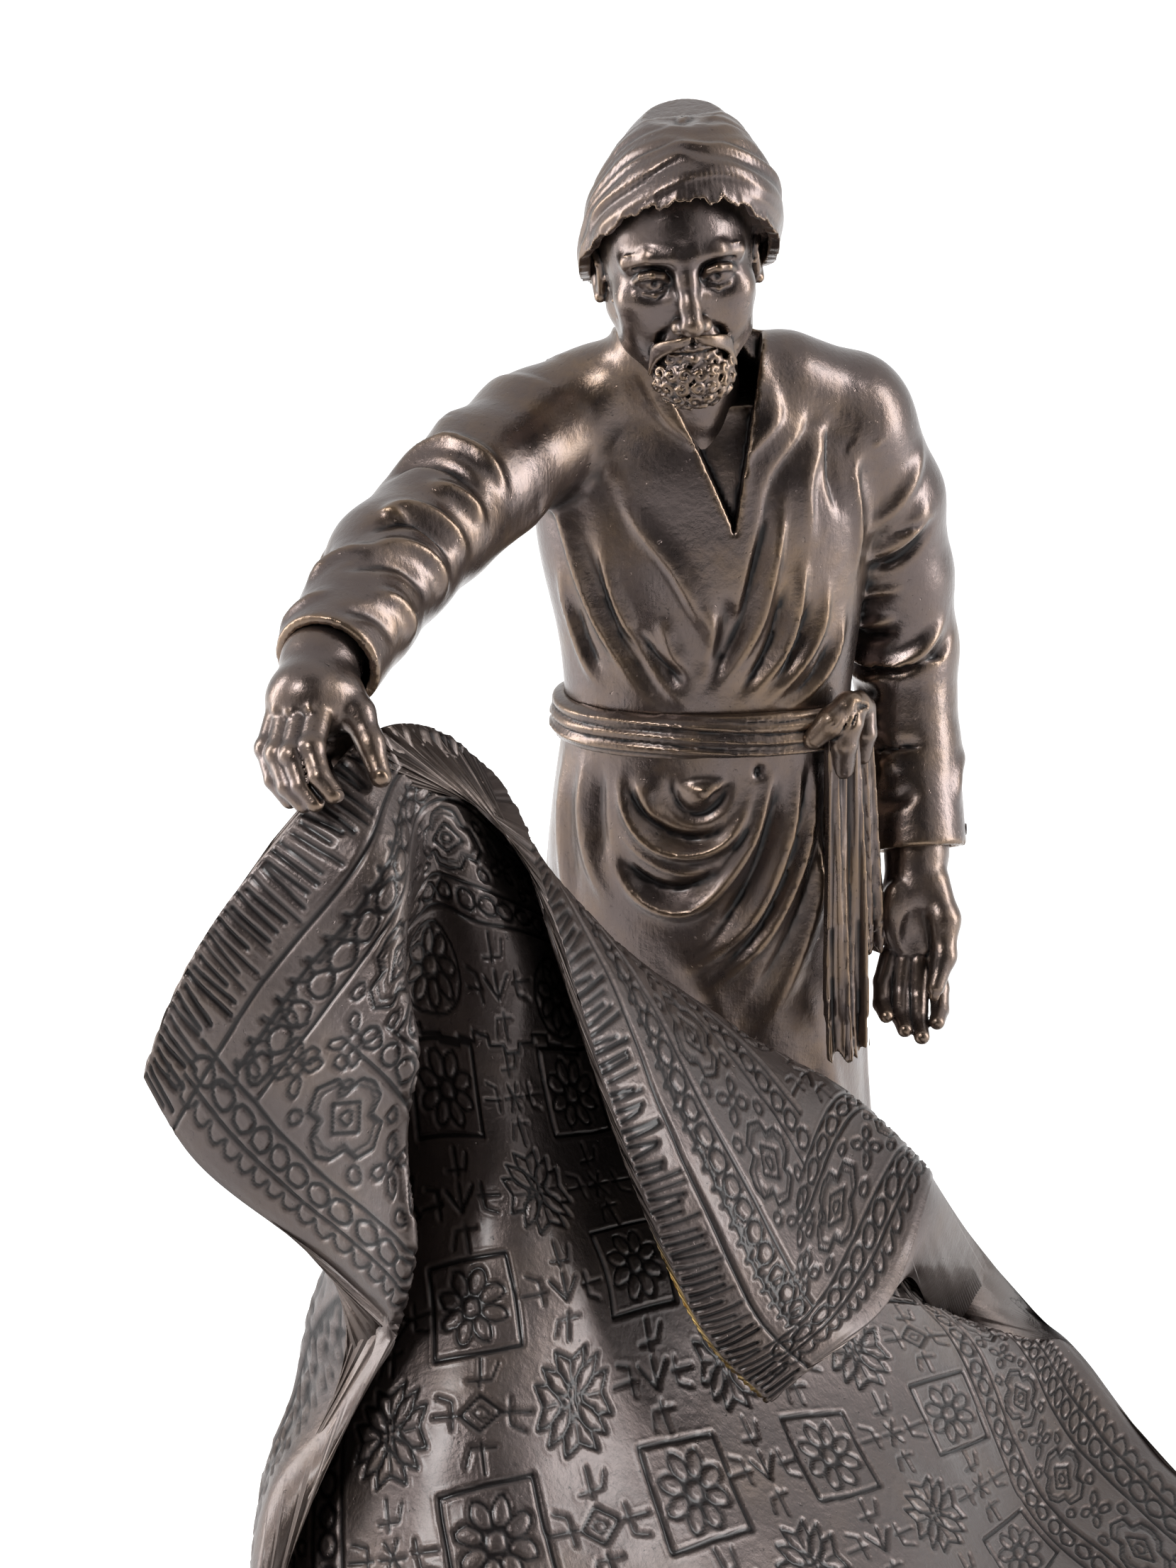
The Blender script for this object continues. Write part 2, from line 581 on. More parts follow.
def bronze(name, dark, mid, warm, roughness, relief_scale=1.0, grain=0.35, warm_share=0.5):
    """Patinated cast bronze: dark in the hollows, warmer and smoother where it is worn."""
    material = bpy.data.materials.new(name)
    material.use_nodes = True
    tree = material.node_tree
    nodes, links = tree.nodes, tree.links
    shader = nodes["Principled BSDF"]

    def node(kind, **settings):
        item = nodes.new(kind)
        for key, value in settings.items():
            if key in item.inputs:
                item.inputs[key].default_value = value
            else:
                setattr(item, key, value)
        return item

    def noise(scale, detail=4.0, rough=0.55):
        item = node("ShaderNodeTexNoise", Scale=scale, Detail=detail, Roughness=rough)
        links.new(coordinates.outputs["Object"], item.inputs["Vector"])
        return item.outputs["Fac"]

    def ramp(source, low, high):
        item = node("ShaderNodeMapRange")
        item.inputs["From Min"].default_value = low
        item.inputs["From Max"].default_value = high
        links.new(source, item.inputs["Value"])
        return item.outputs["Result"]

    def mix(share, first, second):
        item = node("ShaderNodeMix", data_type="RGBA")
        links.new(share, item.inputs["Factor"])
        for socket, value in ((item.inputs[6], first), (item.inputs[7], second)):
            if isinstance(value, tuple):
                socket.default_value = (*value, 1)
            else:
                links.new(value, socket)
        return item.outputs[2]

    def maths(operation, first, second):
        item = node("ShaderNodeMath", operation=operation)
        for socket, value in zip(item.inputs, (first, second)):
            if isinstance(value, (int, float)):
                socket.default_value = value
            else:
                links.new(value, socket)
        return item.outputs[0]

    coordinates = node("ShaderNodeTexCoord")
    relief = node("ShaderNodeAttribute", attribute_name="relief").outputs["Fac"]
    hollow = ramp(relief, -0.10 * relief_scale, -0.55 * relief_scale)
    ridge = ramp(relief, 0.05 * relief_scale, 0.8 * relief_scale)
    patches = ramp(noise(38.0, 5.0), 0.42, 0.66)
    clouds = ramp(noise(95.0, 6.0, 0.65), 0.35, 0.7)
    colour = mix(patches, mid, warm)
    warm_mask = maths("MULTIPLY", clouds, warm_share)
    colour = mix(warm_mask, mid, colour)
    colour = mix(maths("MULTIPLY", ridge, 0.6), colour, warm)
    colour = mix(hollow, colour, dark)
    speck = ramp(noise(900.0, 2.0), 0.66, 0.74)
    colour = mix(maths("MULTIPLY", speck, 0.35), colour, dark)
    rubbed = node("ShaderNodeAttribute", attribute_name="rubbed").outputs["Fac"]
    colour = mix(maths("MULTIPLY", rubbed, ramp(noise(240.0, 4.0), 0.30, 0.50)), colour, BRASS)
    links.new(colour, shader.inputs["Base Color"])
    shader.inputs["Metallic"].default_value = 0.92
    rough = maths("ADD", maths("MULTIPLY", clouds, 0.12), roughness)
    rough = maths("ADD", rough, maths("MULTIPLY", hollow, 0.2))
    links.new(rough, shader.inputs["Roughness"])
    shader.inputs["Coat Weight"].default_value = 0.3
    shader.inputs["Coat Roughness"].default_value = 0.24
    skin = noise(420.0, 6.0, 0.6)
    brush = node("ShaderNodeTexNoise", Scale=1.0, Detail=3.0)
    stretch = node("ShaderNodeMapping")
    stretch.inputs["Scale"].default_value = (1400.0, 1400.0, 160.0)
    links.new(coordinates.outputs["Object"], stretch.inputs["Vector"])
    links.new(stretch.outputs["Vector"], brush.inputs["Vector"])
    pits = ramp(noise(650.0, 2.0), 0.70, 0.78)
    height = maths("ADD", maths("MULTIPLY", skin, 1.0), maths("MULTIPLY", brush.outputs["Fac"], 0.25))
    height = maths("SUBTRACT", height, maths("MULTIPLY", pits, 0.8))
    bump = node("ShaderNodeBump", Strength=grain, Distance=0.0005)
    links.new(height, bump.inputs["Height"])
    links.new(bump.outputs["Normal"], shader.inputs["Normal"])
    return material


FIGURE_BRONZE = bronze("figure_bronze", (0.008, 0.006, 0.006), (0.088, 0.067, 0.062), (0.175, 0.112, 0.062),
                       0.25, warm_share=0.7)
CARPET_BRONZE = bronze("carpet_bronze", (0.009, 0.007, 0.007), (0.066, 0.052, 0.049), (0.110, 0.080, 0.060),
                       0.38, relief_scale=0.8, grain=0.5)
BARE_BRONZE = bronze("bare_bronze", (0.10, 0.06, 0.03), (0.45, 0.29, 0.13), (0.55, 0.36, 0.17), 0.3)

carpet_piece = carpet_object(CARPET_BRONZE)
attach(carpet_piece, "root")
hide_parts("carpet")


# ---------------------------------------------------------------- sculpting with distance fields
def smooth_min(a, b, k):
    if k <= 0:
        return np.minimum(a, b)
    share = np.clip(0.5 + 0.5 * (b - a) / k, 0, 1)
    return b + (a - b) * share - k * share * (1 - share)


class Sculpt:
    """A block of voxels that holds distances to a shape, in millimetres."""

    def __init__(self, low, high, voxel):
        self.low = np.array(low, float)
        self.voxel = voxel
        size = np.ceil((np.array(high, float) - self.low) / voxel).astype(int) + 1
        self.field = np.full(size, 50.0, np.float32)

    def window(self, low, high):
        lo = np.clip(np.floor((np.asarray(low) - self.low) / self.voxel).astype(int), 0, self.field.shape)
        hi = np.clip(np.ceil((np.asarray(high) - self.low) / self.voxel).astype(int) + 1, 0, self.field.shape)
        area = tuple(slice(a, b) for a, b in zip(lo, hi))
        axes = [self.low[i] + np.arange(lo[i], hi[i]) * self.voxel for i in range(3)]
        x = axes[0][:, None, None].astype(np.float32)
        y = axes[1][None, :, None].astype(np.float32)
        z = axes[2][None, None, :].astype(np.float32)
        return area, x, y, z

    def add(self, area, distance, blend=0.0):
        self.field[area] = smooth_min(self.field[area], distance, blend)

    def carve(self, area, distance, blend=0.0):
        self.field[area] = -smooth_min(-self.field[area], distance, blend)

    def egg(self, centre, radii, blend=1.0, carve=False, axes=None):
        """An ellipsoid; axes is a rotation matrix whose rows are its own axes."""
        radii = np.asarray(radii, float)
        centre = np.asarray(centre, float)
        reach = radii.max() + 4 + blend
        area, x, y, z = self.window(centre - reach, centre + reach)
        if min(self.field[area].shape) == 0:
            return
        x, y, z = x - centre[0], y - centre[1], z - centre[2]
        if axes is not None:
            x, y, z = (axes[i][0] * x + axes[i][1] * y + axes[i][2] * z for i in range(3))
        k0 = np.sqrt((x / radii[0]) ** 2 + (y / radii[1]) ** 2 + (z / radii[2]) ** 2) + 1e-6
        k1 = np.sqrt((x / radii[0] ** 2) ** 2 + (y / radii[1] ** 2) ** 2 + (z / radii[2] ** 2) ** 2) + 1e-6
        distance = k0 * (k0 - 1) / k1
        (self.carve if carve else self.add)(area, distance, blend)

    def limb(self, points, sizes, blend=1.0, carve=False):
        """Round bones through points, each with its own radius."""
        points = [np.asarray(p, float) for p in points]
        for (p, q), (a, b) in zip(zip(points[:-1], points[1:]), zip(sizes[:-1], sizes[1:])):
            reach = max(a, b) + 3 + blend
            area, x, y, z = self.window(np.minimum(p, q) - reach, np.maximum(p, q) + reach)
            if min(self.field[area].shape) == 0:
                continue
            d = q - p
            t = ((x - p[0]) * d[0] + (y - p[1]) * d[1] + (z - p[2]) * d[2]) / (d @ d)
            t = np.clip(t, 0, 1)
            gap = np.sqrt((x - p[0] - t * d[0]) ** 2 + (y - p[1] - t * d[1]) ** 2
                          + (z - p[2] - t * d[2]) ** 2)
            (self.carve if carve else self.add)(area, gap - (a + (b - a) * t), blend)

    def curl(self, points, radius, blend=0.3, carve=False):
        """A strand along a smooth line, thinning towards its ends."""
        points = np.asarray(points, float)
        knots = np.arange(len(points))
        fine = spline(knots, points, np.linspace(0, len(points) - 1, 4 * len(points)))
        taper = 0.55 + 0.45 * np.sin(np.linspace(0.25, math.pi - 0.25, len(fine)))
        self.limb(fine, radius * taper, blend, carve)

    def mesh(self):
        """Surface nets: one point per crossed cell, quads round crossed edges."""
        field = self.field
        inside = field < 0
        cells = tuple(n - 1 for n in field.shape)
        corner = [(i, j, k) for i in (0, 1) for j in (0, 1) for k in (0, 1)]
        total = np.zeros(cells, np.uint8)
        for i, j, k in corner:
            total += inside[i:i + cells[0], j:j + cells[1], k:k + cells[2]]
        crossed = (total > 0) & (total < 8)
        index = np.full(cells, -1, np.int64)
        where = np.argwhere(crossed)
        index[crossed] = np.arange(len(where))
        position = np.zeros((len(where), 3))
        weight = np.zeros(len(where))
        for a in corner:
            for axis in range(3):
                if a[axis]:
                    continue
                b = list(a)
                b[axis] = 1
                fa = field[where[:, 0] + a[0], where[:, 1] + a[1], where[:, 2] + a[2]]
                fb = field[where[:, 0] + b[0], where[:, 1] + b[1], where[:, 2] + b[2]]
                cut = (fa < 0) != (fb < 0)
                share = np.where(cut, fa / np.where(fa - fb == 0, 1, fa - fb), 0)
                for c in range(3):
                    step = share if c == axis else 0
                    position[:, c] += np.where(cut, a[c] + step, 0)
                weight += cut
        points = (position / weight[:, None] + where) * self.voxel + self.low
        faces = []
        for axis in range(3):
            first = np.take(inside, range(0, field.shape[axis] - 1), axis=axis)
            second = np.take(inside, range(1, field.shape[axis]), axis=axis)
            change = first != second
            spot = np.argwhere(change)
            u, v = [c for c in range(3) if c != axis]
            ok = ((spot[:, u] > 0) & (spot[:, v] > 0)
                  & (spot[:, u] < field.shape[u] - 1) & (spot[:, v] < field.shape[v] - 1))
            spot = spot[ok]
            outward = first[spot[:, 0], spot[:, 1], spot[:, 2]]
            quad = []
            for du, dv in ((1, 1), (0, 1), (0, 0), (1, 0)):
                cell = spot.copy()
                cell[:, u] -= du
                cell[:, v] -= dv
                quad.append(index[cell[:, 0], cell[:, 1], cell[:, 2]])
            quad = np.stack(quad, axis=1)
            flip = outward if axis != 1 else ~outward
            quad[~flip] = quad[~flip][:, ::-1]
            faces.append(quad)
        return points, np.concatenate(faces)


def neighbours_mean(points, faces, values):
    """Mean of a per-point value over the ends of each point's edges."""
    total = np.zeros_like(values)
    count = np.zeros(len(values))
    for a, b in ((0, 1), (1, 2), (2, 3), (3, 0)):
        np.add.at(total, faces[:, a], values[faces[:, b]])
        np.add.at(count, faces[:, a], 1)
    return total / (count[:, None] if values.ndim > 1 else count)


def hollowness(points, faces, rounds=7):
    """How far each point lies above (+) or below (-) the smoothed surface, in mm."""
    across = points[faces[:, 2]] - points[faces[:, 0]]
    other = points[faces[:, 3]] - points[faces[:, 1]]
    face_normal = np.cross(across, other)
    normal = np.zeros_like(points)
    for c in range(4):
        np.add.at(normal, faces[:, c], face_normal)
    normal /= np.linalg.norm(normal, axis=1, keepdims=True) + 1e-9
    soft = points
    for _ in range(rounds):
        soft = 0.5 * soft + 0.5 * neighbours_mean(points, faces, soft)
    return np.einsum("ij,ij->i", points - soft, normal)


# Scales what hollowness() finds, in voxels, to the relief that the material reads.
RELIEF_GAIN = 1.95


def cast(sculpt, name, nodes, material):
    """Turns a sculpt into a piece that rides on the root and stands for CAD nodes."""
    points, faces = sculpt.mesh()
    relief = hollowness(points, faces) * RELIEF_GAIN / sculpt.voxel
    item = make_mesh(name, points, [faces], material, {"relief": relief})
    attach(item, "root")
    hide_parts(*nodes)


# ---------------------------------------------------------------- robe
# Ovals of the robe at each height: centre x, y and half widths.
SKIRT_OVALS = np.array([(17, 4, -6, 41, 30), (34, 3.5, -7, 38, 28.5), (52, 3, -8, 35.5, 27.5),
                        (80, 1.5, -10, 32.5, 26.5), (110, 0.5, -13, 32, 25.5), (132, 0, -15, 32, 25),
                        (152, 0, -18, 31, 23), (164, 0, -20.5, 29.5, 20.5), (170, 0, -21, 29, 20),
                        (178, 0, -20.6, 29.2, 20)], float)
TORSO_OVALS = np.array([(160, 0, -20.5, 27.5, 18.5), (170, 0, -20.6, 28.4, 19.2), (178, 0, -20.4, 29, 19.6),
                        (186, 0, -20, 30, 19.8), (202, -1, -20, 32.5, 20), (216, -1, -20, 33.5, 19.3),
                        (226, -1.5, -21, 31, 17.4), (233, -2, -22, 26.5, 15.2), (238, -3, -24, 20, 13.4),
                        (243, -4.5, -26, 15.6, 12.2), (251, -5.5, -28, 13.6, 11.6)], float)
GIRTH = 31.0
SKIRT_TOP, SKIRT_WALL, HOLLOW_BELOW = 172, 2.8, 60


def oval_distance(ovals, x, y, z):
    """Distance to an upright tube of ovals, and the angle round it (0 is the front)."""
    heights = z.ravel()
    cx, cy, rx, ry = (spline(ovals[:, 0], ovals[:, i], np.clip(heights, ovals[0, 0], ovals[-1, 0]))
                      .astype(np.float32)[None, None, :] for i in range(1, 5))
    px, py = x - cx, y - cy
    k0 = np.sqrt((px / rx) ** 2 + (py / ry) ** 2) + 1e-6
    k1 = np.sqrt((px / rx ** 2) ** 2 + (py / ry ** 2) ** 2) + 1e-6
    return k0 * (k0 - 1) / k1, np.arctan2(px / rx, -py / ry)


def front_points(ovals, points):
    """(x, z) seen from the front as (distance round the robe, height)."""
    points = np.asarray(points, float)
    centre = np.interp(points[:, 1], ovals[:, 0], ovals[:, 1])
    half = np.interp(points[:, 1], ovals[:, 0], ovals[:, 3])
    angle = np.arcsin(np.clip((points[:, 0] - centre) / half, -0.97, 0.97))
    return np.stack([angle * GIRTH, points[:, 1]], axis=1)


def relief_for(ovals, folds, low, high):
    """folds: (front points, ridge height, width, width of the far side)."""
    relief = Relief((-math.pi * GIRTH, low), (math.pi * GIRTH, high), 0.5)
    for points, height, width, far in folds:
        relief.fold(front_points(ovals, points), width, height, far)
    return relief


def back_folds(relief, specs):
    """Folds given as (angle at the top, angle lower down, z top, z bottom, height, width)."""
    for top, bottom, z_top, z_bottom, height, width in specs:
        for shift in (-2 * math.pi, 0, 2 * math.pi):
            z = np.linspace(z_top, z_bottom, 5)
            bend = 0.05 * np.sin(np.linspace(0, 3, 5))
            a = (np.linspace(top, bottom, 5) + bend + shift) * GIRTH
            if a.max() < -math.pi * GIRTH - 12 or a.min() > math.pi * GIRTH + 12:
                continue
            relief.fold(np.stack([a, z], axis=1), width, height)


TORSO_FOLDS = [
    # lapels of the V neck
    ([(-15.5, 247), (-12, 240), (-7.3, 234), (-0.2, 228.5), (2.2, 222.5), (4, 214)], 1.0, 1.3, 2.4),
    ([(11.4, 247), (10.8, 241), (9, 231), (6, 224.5), (5, 214)], 1.0, 1.6, 1.2),
    ([(15.5, 247), (15.8, 238), (14.2, 225), (11, 213), (9, 205)], -1.0, 1.2, 2.0),
    # folds that run to the middle of the belt
    ([(13.8, 222), (12.4, 210), (10.4, 198), (6.2, 188), (0, 179)], 1.7, 1.9, 1.3),
    ([(10.8, 221), (9.6, 208), (7.3, 197), (3.5, 187), (-2.2, 178.5)], -1.9, 1.3, 1.6),
    ([(18.5, 209), (17, 198), (13.8, 187), (6, 177)], 1.6, 1.8, 1.3),
    ([(15.4, 204), (13.4, 193), (9.5, 184), (4, 178)], -1.7, 1.4, 1.6),
    ([(23.6, 203), (21.6, 192), (16.5, 183), (9, 175.5)], 1.4, 1.7, 1.4),
    ([(20.6, 200), (18.2, 190), (12.5, 181)], -1.5, 1.3, 1.6),
    ([(26.8, 196), (25, 186), (20, 179), (12.5, 174.5)], 1.2, 1.5, 1.4),
    ([(24.6, 190), (21, 182), (15, 177)], -1.1, 1.2, 1.4),
    ([(21, 232), (18.8, 224), (18.5, 214), (19.5, 206)], 0.9, 1.8, 1.6),
    ([(25, 236), (23.2, 228), (24, 219), (26, 212)], -1.4, 1.5, 2.2),
    ([(28.6, 230), (27.4, 221), (28.6, 210), (29, 198)], 1.1, 1.6, 1.8),
    # left of the chest
    ([(-33, 226), (-30, 218), (-27, 209), (-23.8, 198), (-18.6, 187), (-12.5, 178)], 1.7, 1.5, 3.0),
    ([(-24.6, 213), (-22, 200), (-17.8, 189), (-11.5, 180), (-5, 175.5)], -1.5, 1.3, 2.2),
    ([(-22, 214), (-19.6, 201), (-15, 190.5), (-8.6, 181), (-2.5, 175.5)], 1.1, 1.3, 1.8),
    ([(-18.8, 220), (-12, 211), (-7.2, 205), (-3, 197), (0.2, 189)], 1.1, 1.2, 2.6),
    ([(-27, 232), (-22, 222), (-17.6, 213), (-13, 205)], -0.8, 2.2, 3.0),
    ([(-15.8, 194), (-12.2, 187.5), (-7.5, 183), (-3.8, 181)], -2.2, 2.4, 1.6),
    ([(1.6, 201), (3.6, 194.5), (1.2, 187.5), (-3, 182.5)], -1.7, 2.2, 2.0),
    ([(-1.6, 199.5), (0.4, 191), (-2.5, 181)], 0.9, 1.3, 1.3),
    ([(-9, 197), (-8, 190), (-4.8, 183)], 0.9, 1.8, 1.6),
    ([(-29.5, 205), (-28.2, 195), (-25, 185), (-20, 177)], 1.1, 1.8, 1.6),
    ([(-27, 198), (-25, 189), (-21, 181)], -1.0, 1.4, 1.6),
    ([(-31, 240), (-28, 233), (-25.6, 226)], -1.2, 1.2, 1.8),
]
SKIRT_FOLDS = [
    # pouches under the belt
    ([(-7.4, 165), (-7.4, 159), (-4.6, 155), (0.4, 155.5), (3.6, 160), (4.6, 165)], -1.5, 1.2, 1.6),
    ([(-1.4, 162.5), (-1.0, 158.5), (0, 157.8)], 2.0, 3.6, 3.6),
    ([(-12.6, 163), (-12.2, 156), (-9, 152)], 1.1, 3.0, 3.0),
    ([(-17.8, 165), (-17, 157), (-13.8, 150.6), (-8.2, 146.8), (-0.8, 147), (4.6, 151), (7.4, 157),
      (8.4, 163)], 1.9, 1.5, 1.2),
    ([(-15.8, 163), (-14.8, 157), (-11, 151.8), (-5.6, 149.6), (0.4, 150.2), (4.4, 154.4)], -1.9, 1.5, 1.3),
    ([(-19.2, 152), (-14.6, 147), (-8.4, 143.2), (-1.4, 142.8), (3.6, 146.4)], 1.0, 1.2, 1.2),
    ([(-19.8, 146.5), (-17.4, 141), (-13.2, 136), (-7, 133.8), (-0.8, 136), (5.4, 144), (9.4, 152),
      (11.8, 160), (13, 166)], 2.3, 1.7, 1.3),
    ([(-17.8, 146), (-14.6, 141), (-9, 138.3), (-2.6, 139.4), (2.6, 144)], -2.3, 1.8, 1.4),
    ([(10.2, 165), (9.6, 161.5)], -1.4, 1.0, 1.0),
    # long folds from the left hip
    ([(14.6, 165), (13, 154), (10, 143), (5, 133.5), (-1.6, 125)], -2.2, 1.8, 1.8),
    ([(18.2, 167), (16.8, 154.5), (13.2, 141.5), (8, 131), (-0.6, 123), (-8, 118)], 1.9, 1.8, 1.5),
    ([(20, 166), (18.4, 150), (14.4, 137), (9, 127.6), (2, 121)], -1.4, 1.1, 1.4),
    ([(21.6, 166), (20, 149), (16, 136), (10.4, 126), (3.4, 119), (-4, 112)], 1.5, 1.4, 1.3),
    ([(24.2, 150), (23.2, 140), (20, 127), (14.6, 114), (8, 102)], 1.1, 1.1, 2.6),
    ([(22.6, 160), (22, 145), (18.4, 131), (12.4, 119), (5, 108)], -1.1, 1.3, 1.8),
    ([(22.4, 166), (24, 150), (25.2, 134), (27.4, 121), (28.6, 108)], -1.7, 1.6, 1.8),
    # smooth upright folds on the right hip
    ([(-24.8, 166), (-25, 150), (-22, 138), (-18, 130)], 1.2, 1.8, 2.2),
    ([(-21.6, 165), (-21.8, 152), (-20, 141)], -1.0, 1.6, 1.6),
    ([(-28.6, 168), (-29.4, 150), (-28, 132), (-24, 118)], 1.0, 2.0, 2.4),
    ([(-27, 160), (-27.4, 145), (-25, 130)], -0.7, 1.6, 1.6),
    ([(-12, 130), (-4, 122), (2, 110), (4, 90), (2, 60)], 1.4, 3.0, 3.5),
    ([(20, 116), (24, 100), (27, 80), (29, 50), (31, 25)], 1.3, 3.0, 3.5),
    ([(-22, 112), (-24, 90), (-26, 60), (-28, 30)], 1.4, 3.2, 3.5),
    ([(10, 108), (13, 85), (14, 55), (15, 25)], 1.3, 3.0, 3.4),
    ([(-10, 105), (-11, 80), (-12, 50), (-13, 22)], 1.2, 3.0, 3.4),
]
BACK_SKIRT = [
    (1.9, 1.8, 166, 30, 1.6, 3.4), (2.4, 2.3, 164, 24, 1.9, 3.8),
    (2.9, 2.95, 166, 22, 2.0, 4.0), (3.45, 3.55, 164, 24, 1.8, 3.6),
    (4.0, 4.15, 166, 28, 1.7, 3.6), (4.5, 4.6, 160, 40, 1.3, 3.2),
    (2.15, 2.05, 160, 40, -1.3, 2.6), (2.65, 2.62, 162, 30, -1.5, 2.8),
    (3.17, 3.25, 162, 30, -1.5, 2.8), (3.72, 3.85, 160, 36, -1.4, 2.8),
    (1.55, 1.5, 150, 50, 1.1, 3.0),
]
BACK_TORSO = [
    (2.2, 2.9, 232, 176, 1.3, 2.6), (2.7, 3.05, 226, 176, 1.2, 2.4),
    (3.6, 3.25, 228, 176, 1.3, 2.6), (4.1, 3.5, 232, 176, 1.3, 2.8),
    (1.75, 2.5, 222, 178, -1.1, 2.2), (4.4, 3.9, 222, 178, -1.1, 2.2),
    (3.1, 3.12, 215, 176, -1.0, 2.2),
]

skirt_relief = relief_for(SKIRT_OVALS, SKIRT_FOLDS, 10, 176)
back_folds(skirt_relief, BACK_SKIRT)
torso_relief = relief_for(TORSO_OVALS, TORSO_FOLDS, 158, 254)
back_folds(torso_relief, BACK_TORSO)


def robe_skirt():
    low, high = (-48, -48, 12), (52, 32, 176)
    body = Sculpt(low, high, VOXEL)
    area, x, y, z = body.window(low, high)
    distance, angle = oval_distance(SKIRT_OVALS, x, y, z)
    distance = distance - skirt_relief.read(angle * GIRTH, np.broadcast_to(z, angle.shape))
    hem = 17 + 1.2 * np.sin(angle * 5) - z
    distance = np.maximum(distance, np.maximum(hem, z - SKIRT_TOP))
    shell = -(distance + SKIRT_WALL)
    body.add(area, np.maximum(distance, np.where(z < HOLLOW_BELOW, shell, distance)))
    cast(body, "robe_skirt", ["skirt"], FIGURE_BRONZE)


# ---------------------------------------------------------------- sleeves
RIGHT_ARM = np.array([(-22, -20, 229), (-33, -26, 229), (-44, -39, 224.5), (-53, -53, 219), (-61, -67, 215),
                      (-66.5, -83, 210.5), (-72, -99, 206)], float)
RIGHT_SIZES = [11.5, 13, 12.6, 12.2, 12.2, 10.8, 10.2]
LEFT_ARM = np.array([(20, -18, 232), (28.2, -15, 228), (34.8, -10.6, 211), (38, -7, 194), (40, -5.5, 178),
                     (41.5, -9.5, 158), (43, -18, 139)], float)
LEFT_SIZES = [10.5, 12.2, 12.2, 11.4, 10.9, 10.0, 10.0]
SLEEVE_GIRTH = 11.0


def sleeve_distance(points, sizes, relief, x, y, z, up):
    """Distance to a sleeve whose folds are drawn on (distance along, distance round)."""
    lengths = np.linalg.norm(np.diff(points, axis=0), axis=1)
    starts = np.concatenate([[0], np.cumsum(lengths)])
    best = np.full(np.broadcast(x, y, z).shape, 1e3, np.float32)
    along = np.zeros_like(best)
    around = np.zeros_like(best)
    for number, (p, q) in enumerate(zip(points[:-1], points[1:])):
        d = (q - p) / lengths[number]
        side = np.cross(d, up)
        side /= np.linalg.norm(side)
        top = np.cross(side, d)
        t = (x - p[0]) * d[0] + (y - p[1]) * d[1] + (z - p[2]) * d[2]
        past_end = 3 if number == len(lengths) - 1 else 0
        t = np.clip(t, 0, lengths[number] + past_end)
        rx, ry, rz = x - p[0] - t * d[0], y - p[1] - t * d[1], z - p[2] - t * d[2]
        gap = np.sqrt(rx * rx + ry * ry + rz * rz)
        size = sizes[number] + (sizes[number + 1] - sizes[number]) * t / lengths[number]
        distance = gap - size
        closer = distance < best
        along = np.where(closer, starts[number] + t, along)
        turn = np.arctan2(rx * side[0] + ry * side[1] + rz * side[2], rx * top[0] + ry * top[1] + rz * top[2])
        around = np.where(closer, turn * SLEEVE_GIRTH, around)
        best = smooth_min(best, distance, 2.5).astype(np.float32)
    return best - relief.read(along, around)


def sleeve_relief(folds, length):
    """folds: (along, round) points in mm, height, width, far width."""
    relief = Relief((-5, -35), (length + 10, 35), 0.5)
    for points, height, width, far in folds:
        relief.fold(points, width, height, far)
    return relief


# along from the shoulder; round: 0 on top, + towards the side the fold is seen on
RIGHT_FOLDS = [([(8, -14), (12, -4), (12, 8), (8, 18)], -1.3, 1.5, 2.0),
               ([(41, -16), (38, -6), (41, 4), (49, 9)], 2.0, 2.0, 1.5),
               ([(47, -14), (45, -5), (47, 3), (54, 7)], -1.9, 1.5, 1.8),
               ([(50, -16), (51, -8), (55, -2)], 1.6, 1.8, 1.6),
               ([(30, 12), (38, 15), (46, 20), (54, 26)], 1.3, 1.8, 2.0),
               ([(38, 10), (46, 14), (55, 18)], -1.7, 1.4, 2.0),
               ([(57, -20), (59, -10), (63, -3), (70, 0)], 1.9, 1.8, 1.4),
               ([(63, -18), (64, -9), (68, -2), (74, 2)], -1.6, 1.4, 1.6),
               ([(60, 14), (66, 18), (72, 25)], 1.5, 1.6, 1.8),
               ([(69, -22), (70, -12), (74, -4), (80, 0)], 1.6, 1.7, 1.5),
               ([(76, -4), (80, 5), (87, 10)], 1.4, 1.6, 1.6),
               ([(76, -18), (77, -10), (81, -3), (86, 2)], -1.3, 1.5, 1.7),
               ([(84, -22), (85, -12), (90, -5)], 1.3, 1.6, 1.6),
               ([(90, 0), (94, 8), (97, 16)], 1.2, 1.6, 1.6),
               ([(91, -18), (93, -8), (98, -2)], -1.0, 1.4, 1.6),
               ([(72, 8), (78, 14), (82, 22)], -1.4, 1.5, 1.8),
               ([(25, 6), (34, 4), (42, -4)], 0.9, 2.4, 2.4),
               ([(20, -20), (34, -24), (48, -22)], 1.0, 2.4, 2.4)]
